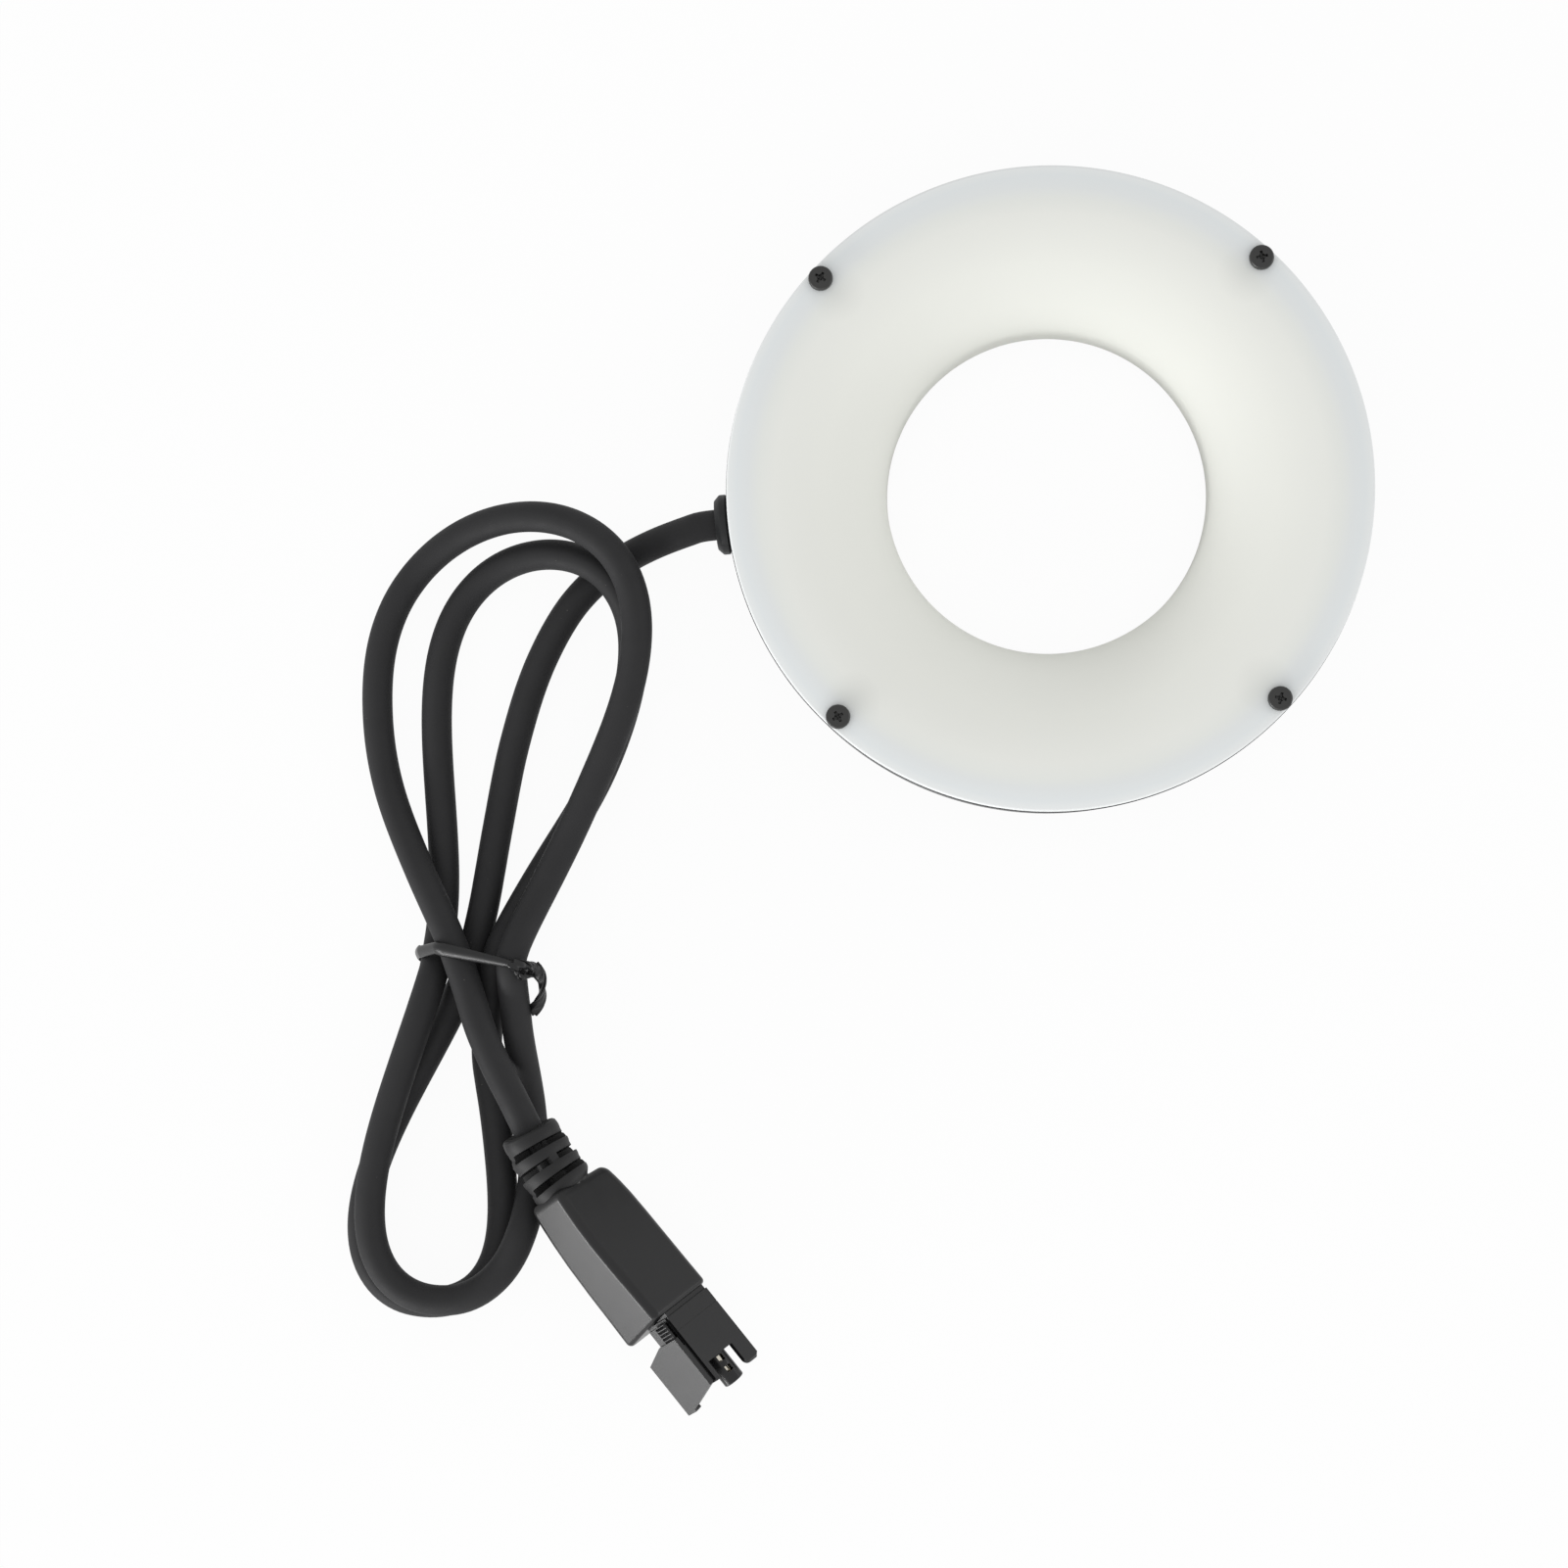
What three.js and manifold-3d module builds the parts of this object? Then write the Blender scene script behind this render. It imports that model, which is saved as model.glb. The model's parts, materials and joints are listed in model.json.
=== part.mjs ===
// A ring light for a microscope: a ring-shaped housing with an opal diffuser over a ring of diodes, a side gland,
// a cord tied in a hank, and a latched plug. Millimetres, +Z up; the ring lies on its back at z = 0 and its axis
// is the Z axis.
import * as THREE from "three";
import { mergeVertices } from "three/addons/utils/BufferGeometryUtils.js";
import Module from "manifold-3d";

const wasm = await Module();
wasm.setup();

// Driving dimensions

const ringDiameter = 120;
const ringHeight = 20;
const boreDiameter = 61.3;
const fitGap = 0.3; // between pieces that fit into or round each other
const seatGap = 0.1; // between flat faces that rest on each other
const overrun = 1; // how far a cutter stands out past the face that it cuts
const ringSegments = 64;
const smallSegments = 16;

const ringRadius = ringDiameter / 2;
const boreRadius = boreDiameter / 2;

const housing = {
  wall: 5,
  lip: 2, // floor thickness round the bore
  lipClearance: 2.65, // from the diffuser's tube to the step in the floor
  floor: 3.2, // floor thickness under the board
  edge: 0.4, // chamfer of the outer edges
  bossRadius: 4.4,
  mountHoleRadius: 1.25, // tapped for M3
  mountHoleDepth: 5,
};

const diffuser = {
  inset: 0.2, // its rim stops this far inside the housing's outer edge
  rimThickness: 2,
  rimWidth: 6.3,
  edge: 0.3,
  flareDepth: 9,
  tubeRadius: 30.2,
  tubeWall: 1.8,
  flareSteps: 8,
};

const screw = {
  count: 4,
  angle: 47.3, // degrees, of the first one
  headRadius: 2.27,
  headHeight: 1.6,
  headCrown: 0.5,
  shankRadius: 1.25,
  length: 8,
  recessSpan: 2.5,
  recessWidth: 0.6,
  recessDepth: 1,
};

const board = {
  thickness: 1.6,
  wallClearance: 4.5, // from its outer edge to the housing's wall
  tubeClearance: 4, // from its inner edge to the diffuser's tube
  padThickness: 1,
  padInset: 0.5,
  screwHeadRadius: 1.9,
  screwHeadHeight: 1.3,
  screwShankRadius: 1,
  screwBite: 1.8, // how deep a screw goes into the floor
};

const led = {
  count: 24,
  length: 3.5,
  width: 2.8,
  height: 0.8,
  cornerCut: 0.6, // marks the cathode
};

const resistor = {
  places: [2, 10, 18], // gaps between diodes, counted from the gland
  length: 3.2,
  width: 1.6,
  height: 0.6,
};

const terminal = {
  place: 1, // gap between diodes, counted from the gland
  length: 6,
  width: 4,
  height: 5.2,
  wall: 0.6,
  mouthDepth: 2.5,
};

const gland = {
  angle: 185.2, // degrees
  flangeRadius: 5.65,
  flangeThickness: 2.3,
  flangeChamfer: 1,
  barrelRadius: 4,
  nutFlats: 11,
  nutThickness: 2.6,
  tail: 0.4, // how far the barrel stands out of its nut
};

const cordDiameter = 5.8;
const cordRadius = cordDiameter / 2;
const cordSides = 10;
const hankSides = 6;
const leadSteps = 13;
const tailSteps = 6;
const floorGap = 0.1; // the cord lies this far above the surface that the ring stands on
const leadDiameter = 1.3; // insulated inner wires
const leadSpacing = 1.7;
const leadPull = 1.3; // how far an inner wire runs on before it turns
const leadBend = 3.2;
const wireSides = 8;
const wireSteps = 10;

const plug = {
  origin: [-98.6, -120.4, 12.2], // on its axis, level with the strain relief's start
  heading: -51.6, // degrees in plan, from +X
  pitch: -3.7, // degrees, tip down
  roll: 48.5, // degrees, which turns the latch side up
};

const relief = {
  startRadius: 5.6,
  endRadius: 6.1,
  length: 12.7,
  bend: 12.4, // degrees in plan, between its start and the plug's axis
  grooves: 3,
  groovePitch: 3.4,
  firstGroove: 2.5,
  grooveWidth: 1.1,
  grooveDepth: 1.5,
  rounding: 1,
};

const overmould = {
  length: 29.9,
  startWidth: 13.7,
  startThickness: 10.2,
  endWidth: 15.1,
  endThickness: 12.5,
  cornerRadius: 1.5,
  shoulder: 1.6,
  endBevel: 0.6,
  slant: 1, // how much further the latch side's lower corner reaches
  cornerSteps: 4,
};

// The connector's places across the plug: "side" is measured towards the latch, "height" towards its dark top face.
const connector = {
  neckLength: 4.1,
  bodyLength: 8.1,
  outerSide: -7.4, // the side away from the latch
  innerSide: 4.6, // the side behind the latch
  top: 5.3,
  thickness: 6.6,
  neckShelf: 2.8, // height of the neck's lower part, which reaches out as far as the latch
  wallThickness: 0.9,
  wallReach: 3.8,
  tongueWidth: 4.3,
  tongueThickness: 1.1,
  tongueReach: 5.1,
  tubeSide: -1.4,
  tubeRadius: 2.1,
  tubeReach: 6.3,
  tubeBore: 1.5,
  tubeBoreDepth: 9,
  windowLength: 1.5,
  windowWidth: 1.3,
  windowPitch: 2.4,
};

const contact = {
  sleeveRadius: 1.25,
  sleeveWall: 0.3,
  sleeveLength: 7.6,
  pinRadius: 0.45,
  pinLength: 6.4,
};

const latch = {
  thickness: 1,
  gap: 1, // between the lever and the connector's side
  depth: 10.6,
  length: 13.9,
  rootChamferLength: 2.2,
  rootChamferDepth: 5.4,
  rootOffset: 0.3, // from the neck's end to the plate's root
  noseLean: 3.1,
  hookLength: 0.5,
  hookDepth: 2.6,
  hookThickness: 1.7,
  tailLength: 3.4,
  tailDepth: 3.5,
  ribs: 3,
  ribHeight: 0.35,
  ribWidth: 0.6,
  pivotOffset: 1.6, // from the plate's root to the web that it turns on
  webLength: 1,
  webInset: 0.9,
};

const tie = {
  thickness: 0.55,
  width: 2.5,
  clearance: 0.3,
  slope: -12, // degrees off square to the hank
  steps: 40,
  knotAngle: 52, // degrees round the band from its right end, where the twist starts
  knotLength: 4.4,
  knotWidth: 2.2,
  knotTurns: 1.25,
  knotSteps: 12,
  tailWidth: 1.8,
  tailThickness: 0.9,
};

// Materials

const finish = {
  anodised: new THREE.MeshStandardMaterial({ color: 0x26282a, roughness: 0.5, metalness: 0.6 }),
  opal: new THREE.MeshStandardMaterial({ color: 0xe2e3dd, roughness: 0.45, metalness: 0 }),
  blackSteel: new THREE.MeshStandardMaterial({ color: 0x252524, roughness: 0.35, metalness: 0.8 }),
  solderMask: new THREE.MeshStandardMaterial({ color: 0xe9e9e4, roughness: 0.5, metalness: 0 }),
  greyPad: new THREE.MeshStandardMaterial({ color: 0x8b8f93, roughness: 0.9, metalness: 0 }),
  phosphor: new THREE.MeshStandardMaterial({ color: 0xe9d84f, roughness: 0.4, metalness: 0 }),
  resistorBlack: new THREE.MeshStandardMaterial({ color: 0x1c1c1e, roughness: 0.5, metalness: 0 }),
  steel: new THREE.MeshStandardMaterial({ color: 0xb9bbbd, roughness: 0.35, metalness: 1 }),
  nylon: new THREE.MeshStandardMaterial({ color: 0xe6e2d2, roughness: 0.5, metalness: 0 }),
  redWire: new THREE.MeshStandardMaterial({ color: 0xa3201c, roughness: 0.5, metalness: 0 }),
  blackWire: new THREE.MeshStandardMaterial({ color: 0x1e1e1f, roughness: 0.5, metalness: 0 }),
  glandBlack: new THREE.MeshStandardMaterial({ color: 0x37393a, roughness: 0.5, metalness: 0 }),
  cordJacket: new THREE.MeshStandardMaterial({ color: 0x323230, roughness: 0.75, metalness: 0 }),
  tiePlastic: new THREE.MeshStandardMaterial({ color: 0x26282a, roughness: 0.3, metalness: 0 }),
  plugPlastic: new THREE.MeshStandardMaterial({ color: 0x3a3a3a, roughness: 0.42, metalness: 0 }),
  nickel: new THREE.MeshStandardMaterial({ color: 0xc9c6bd, roughness: 0.2, metalness: 1 }),
};

// Solids: three.js geometry to a manifold-3d solid and back

const radians = THREE.MathUtils.degToRad;

function solid(geometry) {
  const bare = geometry.clone();
  bare.deleteAttribute("normal");
  bare.deleteAttribute("uv");
  const merged = mergeVertices(bare);
  return new wasm.Manifold(
    new wasm.Mesh({
      numProp: 3,
      vertProperties: merged.attributes.position.array,
      triVerts: new Uint32Array(merged.index.array),
    }),
  );
}

function geometryOf(made) {
  const mesh = made.getMesh();
  const geometry = new THREE.BufferGeometry();
  geometry.setAttribute("position", new THREE.BufferAttribute(mesh.vertProperties, mesh.numProp));
  geometry.setIndex(new THREE.BufferAttribute(mesh.triVerts, 1));
  geometry.computeVertexNormals();
  return geometry;
}

// A lathe about the Z axis. A profile is a list of [radius, height], counterclockwise, from axis to axis or closed.
function lathe(profile, segments) {
  const points = profile.map(([radius, height]) => new THREE.Vector2(radius, height));
  return new THREE.LatheGeometry(points, segments).rotateX(Math.PI / 2);
}

function ring(profile, segments = ringSegments) {
  return lathe([...profile, profile[0]], segments);
}

function disc(radius, low, high, segments = smallSegments) {
  return lathe([[0, low], [radius, low], [radius, high], [0, high]], segments);
}

function block(lowX, highX, lowY, highY, lowZ, highZ) {
  const size = [highX - lowX, highY - lowY, highZ - lowZ];
  const centre = [(lowX + highX) / 2, (lowY + highY) / 2, (lowZ + highZ) / 2];
  return new THREE.BoxGeometry(...size).translate(...centre);
}

function outlinePlate(outline, thickness) {
  const shape = new THREE.Shape(outline.map(([x, y]) => new THREE.Vector2(x, y)));
  return new THREE.ExtrudeGeometry(shape, { depth: thickness, bevelEnabled: false });
}

// A closed skin over rings of points, each ring with the same number of points and counterclockwise about the path.
function skin(rings) {
  const around = rings[0].length;
  const last = rings.length - 1;
  const places = rings.flat().concat([middle(rings[0]), middle(rings[last])]);
  const startCentre = rings.length * around;
  const endCentre = startCentre + 1;
  const faces = [];
  for (let i = 0; i < around; i++) {
    const next = (i + 1) % around;
    faces.push(startCentre, next, i);
    faces.push(endCentre, last * around + i, last * around + next);
    for (let k = 0; k < last; k++) {
      const a = k * around + i;
      const b = k * around + next;
      faces.push(a, b, b + around);
      faces.push(a, b + around, a + around);
    }
  }
  const geometry = new THREE.BufferGeometry();
  const flat = places.flatMap((place) => place.toArray());
  geometry.setAttribute("position", new THREE.Float32BufferAttribute(flat, 3));
  geometry.setIndex(faces);
  geometry.computeVertexNormals();
  return geometry;
}

function middle(points) {
  const sum = points.reduce((total, point) => total.add(point), new THREE.Vector3());
  return sum.divideScalar(points.length);
}

// A tube through points, with a ring of the section square to the path at each. The section is [side, height] pairs.
function sweep(points, sectionAt) {
  const rings = [];
  let side = null;
  let before = null;
  points.forEach((point, i) => {
    const back = points[Math.max(i - 1, 0)];
    const ahead = points[Math.min(i + 1, points.length - 1)];
    const along = ahead.clone().sub(back).normalize();
    if (side === null) {
      side = new THREE.Vector3(0, 0, 1).cross(along).normalize();
    } else {
      side.applyQuaternion(new THREE.Quaternion().setFromUnitVectors(before, along));
    }
    before = along;
    const up = along.clone().cross(side);
    const section = sectionAt(i / (points.length - 1));
    rings.push(section.map(([s, h]) => point.clone().addScaledVector(side, s).addScaledVector(up, h)));
  });
  return skin(rings);
}

function circleSection(radius, sides) {
  const section = [];
  for (let i = 0; i < sides; i++) {
    const angle = (2 * Math.PI * i) / sides;
    section.push([radius * Math.cos(angle), radius * Math.sin(angle)]);
  }
  return section;
}

function named(name, geometry, material) {
  const mesh = new THREE.Mesh(geometry, material);
  mesh.name = name;
  return mesh;
}

function polar(radius, degrees, height) {
  return new THREE.Vector3(radius * Math.cos(radians(degrees)), radius * Math.sin(radians(degrees)), height);
}

function around(count, firstAngle) {
  return Array.from({ length: count }, (unused, i) => firstAngle + (360 * i) / count);
}

// The angle of a gap between two diodes, counted from the one at the gland
function gapAngle(place) {
  return gland.angle + ((place + 1 / 2) * 360) / led.count;
}

// Heights and radii that the pieces share

const rimLow = ringHeight - diffuser.rimThickness;
const wallTop = rimLow - fitGap;
const wallInner = ringRadius - housing.wall;
const screwCircle = ringRadius - housing.wall / 2;
const glandHeight = wallTop / 2;
const tubeOuter = diffuser.tubeRadius + diffuser.tubeWall;
const lipOuter = tubeOuter + housing.lipClearance;
const boardOuter = wallInner - board.wallClearance;
const boardInner = tubeOuter + board.tubeClearance;
const boardMiddle = (boardOuter + boardInner) / 2; // the circle that the diodes and what lies between them are on
const padLow = housing.floor + seatGap;
const boardLow = padLow + board.padThickness + seatGap;
const boardTop = boardLow + board.thickness;
const partLow = boardTop + seatGap; // where what sits on the board starts
const boardScrewAngles = around(screw.count, gapAngle(-1));
const screwAngles = around(screw.count, screw.angle);

// Housing: floor, wall, bosses for the diffuser's screws, tapped holes in the back

function makeHousing() {
  const shell = solid(
    ring([
      [boreRadius, 0],
      [ringRadius - housing.edge, 0],
      [ringRadius, housing.edge],
      [ringRadius, wallTop],
      [wallInner, wallTop],
      [wallInner, housing.floor],
      [lipOuter, housing.floor],
      [lipOuter, housing.lip],
      [boreRadius, housing.lip],
    ]),
  );
  const core = solid(disc(screwCircle, 0, wallTop, ringSegments));
  const bossHeights = [housing.floor / 2, wallTop];
  let body = shell;
  for (const angle of screwAngles) {
    const boss = disc(housing.bossRadius, ...bossHeights).translate(...polar(screwCircle, angle, 0));
    body = body.add(solid(boss).intersect(core));
  }
  for (const angle of screwAngles) {
    const place = polar(screwCircle, angle, 0).toArray();
    const screwDepth = screw.length - diffuser.rimThickness;
    const front = disc(screw.shankRadius + fitGap, wallTop - screwDepth - overrun, wallTop + overrun);
    const back = disc(housing.mountHoleRadius, -overrun, housing.mountHoleDepth);
    body = body.subtract(solid(front.translate(...place))).subtract(solid(back.translate(...place)));
  }
  for (const angle of boardScrewAngles) {
    const bite = disc(board.screwShankRadius + fitGap, housing.floor - board.screwBite - fitGap,
      housing.floor + overrun);
    body = body.subtract(solid(bite.translate(...polar(boardMiddle, angle, 0))));
  }
  const hole = disc(gland.barrelRadius + fitGap, wallInner - overrun, ringRadius + overrun);
  return geometryOf(body.subtract(solid(radialOut(hole))));
}

// Turns a lathe about Z into one about the gland's axis, with its height now the distance from the ring's axis.
function radialOut(geometry) {
  return geometry.rotateY(Math.PI / 2).rotateZ(radians(gland.angle)).translate(0, 0, glandHeight);
}

// Diffuser: flat rim, a flare that steepens to an upright lip, and the tube inside the bore

function flare(outer, top, inner, depth) {
  const points = [];
  for (let i = 0; i <= diffuser.flareSteps; i++) {
    const turn = (Math.PI / 2) * (i / diffuser.flareSteps);
    points.push([outer - (outer - inner) * Math.sin(turn), top - depth * (1 - Math.cos(turn))]);
  }
  return points;
}

function makeDiffuser() {
  const rim = ringRadius - diffuser.inset;
  const flat = rim - diffuser.rimWidth;
  const tubeLow = housing.lip + fitGap;
  const top = flare(flat, ringHeight, diffuser.tubeRadius, diffuser.flareDepth);
  const under = flare(flat, rimLow, tubeOuter, diffuser.flareDepth - diffuser.tubeWall);
  const profile = [
    [tubeOuter, tubeLow],
    ...under.reverse(),
    [rim, rimLow],
    [rim, ringHeight - diffuser.edge],
    [rim - diffuser.edge, ringHeight],
    ...top,
    [diffuser.tubeRadius, tubeLow],
  ];
  let body = solid(ring(profile));
  for (const angle of screwAngles) {
    const hole = disc(screw.shankRadius + fitGap, rimLow - overrun, ringHeight + overrun);
    body = body.subtract(solid(hole.translate(...polar(screwCircle, angle, 0))));
  }
  return geometryOf(body);
}

// A pan-head screw with its head's underside at z = 0 and a cross recess
function makeScrew(headRadius, headHeight, crown, shankRadius, length, recess) {
  const profile = [
    [0, -length],
    [shankRadius, -length],
    [shankRadius, 0],
    [headRadius, 0],
    [headRadius, headHeight - crown],
    [headRadius - crown / 2, headHeight - crown / 2],
    [headRadius / 2, headHeight - crown / 8],
    [0, headHeight],
  ];
  let body = solid(lathe(profile, smallSegments));
  const low = headHeight - recess.depth;
  const high = headHeight + overrun;
  const long = recess.span / 2;
  const short = recess.width / 2;
  body = body.subtract(solid(block(-long, long, -short, short, low, high)));
  body = body.subtract(solid(block(-short, short, -long, long, low, high)));
  return geometryOf(body);
}

function addScrews(group) {
  const recess = { span: screw.recessSpan, width: screw.recessWidth, depth: screw.recessDepth };
  screwAngles.forEach((angle, i) => {
    const shape = makeScrew(screw.headRadius, screw.headHeight, screw.headCrown, screw.shankRadius,
      screw.length, recess);
    const mesh = named(`diffuser_screw_${i + 1}`, shape, finish.blackSteel);
    mesh.position.copy(polar(screwCircle, angle, ringHeight + seatGap));
    mesh.rotation.z = radians(angle);
    group.add(mesh);
  });
}

// LED board with its pad, diodes, resistors, terminal and screws

function makeFlatRing(inner, outer, low, thickness, holeRadius) {
  const high = low + thickness;
  let body = solid(ring([[inner, low], [outer, low], [outer, high], [inner, high]]));
  for (const angle of boardScrewAngles) {
    const hole = disc(holeRadius, low - overrun, high + overrun);
    body = body.subtract(solid(hole.translate(...polar(boardMiddle, angle, 0))));
  }
  return geometryOf(body);
}

function makeLed() {
  const halfLength = led.length / 2;
  const halfWidth = led.width / 2;
  const outline = [
    [-halfLength, -halfWidth],
    [halfLength, -halfWidth],
    [halfLength, halfWidth],
    [-halfLength + led.cornerCut, halfWidth],
    [-halfLength, halfWidth - led.cornerCut],
  ];
  return outlinePlate(outline, led.height);
}

function makeTerminal() {
  const halfLength = terminal.length / 2;
  const halfWidth = terminal.width / 2;
  const mouthWidth = halfWidth - terminal.wall;
  const body = solid(block(-halfWidth, halfWidth, -halfLength, halfLength, 0, terminal.height));
  const mouth = block(-mouthWidth, mouthWidth, -halfLength - overrun, -halfLength + terminal.mouthDepth,
    terminal.wall, terminal.height - terminal.wall);
  return geometryOf(body.subtract(solid(mouth)));
}

function place(mesh, radius, degrees, height) {
  mesh.position.copy(polar(radius, degrees, height));
  mesh.rotation.z = radians(degrees);
  return mesh;
}

function addBoard(group) {
  const clearHole = board.screwShankRadius + fitGap;
  const padOuter = boardOuter - board.padInset;
  const padInner = boardInner + board.padInset;
  const pad = makeFlatRing(padInner, padOuter, padLow, board.padThickness, clearHole);
  group.add(named("thermal_pad", pad, finish.greyPad));
  const plate = makeFlatRing(boardInner, boardOuter, boardLow, board.thickness, clearHole);
  group.add(named("led_board", plate, finish.solderMask));
  around(led.count, gland.angle).forEach((angle, i) => {
    const mesh = named(`led_${String(i + 1).padStart(2, "0")}`, makeLed(), finish.phosphor);
    group.add(place(mesh, boardMiddle, angle, partLow));
  });
  resistor.places.forEach((gap, i) => {
    const halfLength = resistor.length / 2;
    const halfWidth = resistor.width / 2;
    const shape = block(-halfWidth, halfWidth, -halfLength, halfLength, 0, resistor.height);
    const mesh = named(`board_resistor_${i + 1}`, shape, finish.resistorBlack);
    group.add(place(mesh, boardMiddle, gapAngle(gap), partLow));
  });
  const socket = named("wire_terminal", makeTerminal(), finish.nylon);
  group.add(place(socket, boardMiddle, gapAngle(terminal.place), partLow));
  const length = boardTop + seatGap - housing.floor + board.screwBite;
  const recess = { span: board.screwHeadRadius, width: screw.recessWidth, depth: board.screwHeadHeight / 2 };
  boardScrewAngles.forEach((angle, i) => {
    const shape = makeScrew(board.screwHeadRadius, board.screwHeadHeight, screw.headCrown,
      board.screwShankRadius, length, recess);
    const mesh = named(`board_screw_${i + 1}`, shape, finish.steel);
    group.add(place(mesh, boardMiddle, angle, partLow));
  });
}

// Gland: a flanged bush through the wall, its nut inside, and the two wires that leave the cord's end

const glandFace = ringRadius + fitGap; // inner face of the flange
const glandMouth = glandFace + gland.flangeThickness;
const nutRadius = gland.nutFlats / 2 / Math.cos(Math.PI / 6);
const nutHigh = Math.sqrt(wallInner ** 2 - nutRadius ** 2) - fitGap;
const nutLow = nutHigh - gland.nutThickness;
const glandEnd = nutLow - gland.tail;
const cordEnd = glandEnd - seatGap; // where the cord's jacket stops inside the ring

function makeGland() {
  const bore = cordRadius + fitGap;
  const profile = [
    [bore, glandEnd],
    [gland.barrelRadius, glandEnd],
    [gland.barrelRadius, glandFace],
    [gland.flangeRadius, glandFace],
    [gland.flangeRadius, glandMouth - gland.flangeChamfer],
    [gland.flangeRadius - gland.flangeChamfer, glandMouth],
    [bore, glandMouth],
  ];
  return radialOut(ring(profile, smallSegments));
}

function makeNut() {
  const hex = solid(disc(nutRadius, nutLow, nutHigh, 6));
  const bore = disc(gland.barrelRadius + fitGap, nutLow - overrun, nutHigh + overrun);
  return radialOut(geometryOf(hex.subtract(solid(bore))));
}

function makeInnerWire(heightShift) {
  const degreesAlong = (arc) => THREE.MathUtils.radToDeg(arc / boardMiddle);
  const stopAngle = gapAngle(terminal.place) - degreesAlong(terminal.length / 2 + fitGap);
  const bendAngle = gland.angle + degreesAlong(leadBend);
  const start = cordEnd - fitGap;
  const height = glandHeight + heightShift;
  const route = [
    polar(start, gland.angle, height),
    polar(Math.max(start - leadPull, boardMiddle), gland.angle, height),
    polar(boardMiddle, bendAngle, height),
    polar(boardMiddle, (bendAngle + stopAngle) / 2, height),
    polar(boardMiddle, stopAngle, height),
  ];
  const curve = new THREE.CatmullRomCurve3(route);
  return sweep(curve.getPoints(wireSteps), () => circleSection(leadDiameter / 2, wireSides));
}

function addGland(group) {
  group.add(named("cable_gland", makeGland(), finish.glandBlack));
  group.add(named("gland_nut", makeNut(), finish.steel));
  group.add(named("lead_red", makeInnerWire(leadSpacing / 2), finish.redWire));
  group.add(named("lead_black", makeInnerWire(-leadSpacing / 2), finish.blackWire));
}

// Plug frame: X runs from the cord to the tip, Y away from the latch, Z towards the dark top face

const plugAcross = new THREE.Vector3(-Math.sin(radians(plug.heading)), Math.cos(radians(plug.heading)), 0);
const plugAlong = new THREE.Vector3(Math.cos(radians(plug.heading)), Math.sin(radians(plug.heading)), 0)
  .applyAxisAngle(plugAcross, -radians(plug.pitch));
const plugTurn = new THREE.Quaternion()
  .setFromAxisAngle(plugAlong, -radians(plug.roll))
  .multiply(
    new THREE.Quaternion().setFromRotationMatrix(
      new THREE.Matrix4().makeBasis(plugAlong, plugAcross, plugAlong.clone().cross(plugAcross)),
    ),
  );
const plugOrigin = new THREE.Vector3(...plug.origin);

// The strain relief bends in plan, as a parabola that ends along the plug's axis.
const reliefSlope = Math.tan(radians(relief.bend));
const reliefOffset = (reliefSlope * relief.length) / 2;
const cordEntry = plugOrigin.clone().addScaledVector(plugAcross, reliefOffset);
const cordHeading = plugAlong.clone().addScaledVector(plugAcross, -reliefSlope).normalize();

// Cord: the free lead, the hank and the free tail, on one route

// The hank's loops hang from its waist at the tie. A loop runs out and back along its lean, as wide as its taper
// lets it be, and shifts from one slot of the waist to another. Its layers are [share of the turn, layer], and the
// way back may bulge by backBulge mm, most at bulgeAlong from the waist.
const waist = [-109, -87.1];
const layerHeight = 6.4;
const waistLift = 1.1;
const liftRun = 14;
const loopStart = 0.3; // radians of a turn that the waist itself takes up
const loopSteps = 30;
const bulgeAlong = 18;
const bulgeRun = 7;
const slot = { lead: -0.2, underLeft: -7, underRight: 4.9, overRight: 8.6, tail: -2.3 };
const loops = [
  {
    up: false, reach: 66.7, lean: 0.237, sway: 1.2, from: slot.lead, to: slot.underRight,
    outWidth: -17.2, outTaper: 2.1, backWidth: -22.9, backTaper: 3.1, backBulge: -0.8,
    layerShares: [[0, 0], [0.8, 0], [0.92, 0.5], [1, 0.6]],
  },
  {
    up: true, reach: 77.1, lean: 0.076, sway: 11, from: slot.underRight, to: slot.underLeft,
    outWidth: 23.3, outTaper: 1.9, backWidth: 23.1, backTaper: 2.5, backBulge: 0,
    layerShares: [[0, 0.6], [0.16, 0], [0.27, 0], [0.43, 1.06], [0.62, 0], [1, 0]],
  },
  {
    up: false, reach: 63.7, lean: -0.143, sway: -12.8, from: slot.underLeft, to: slot.overRight,
    outWidth: -18.7, outTaper: 1.9, backWidth: -13.9, backTaper: 2.5, backBulge: 0,
    layerShares: [[0, 0.16], [0.16, 1], [0.62, 1], [0.71, 0.06], [0.75, 0.06], [0.85, 1.05], [0.92, 1.42], [1, 1.42]],
  },
  {
    up: true, reach: 82.4, lean: -0.049, sway: 10.2, from: slot.overRight, to: slot.tail,
    outWidth: 30.6, outTaper: 1.6, backWidth: 30.4, backTaper: 1.3, backBulge: 0,
    layerShares: [[0, 1.42], [0.15, 1.1], [0.33, 1.9], [0.42, 1.9], [0.62, 0], [0.76, 0], [0.88, 1], [1, 1]],
  },
];

function eased(share) {
  return share * share * (3 - 2 * share);
}

function layerAt(layerShares, share) {
  const next = layerShares.findIndex(([end]) => share <= end);
  if (next <= 0) return layerShares[0][1];
  const [start, low] = layerShares[next - 1];
  const [end, high] = layerShares[next];
  return low + (high - low) * eased((share - start) / (end - start));
}

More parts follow.
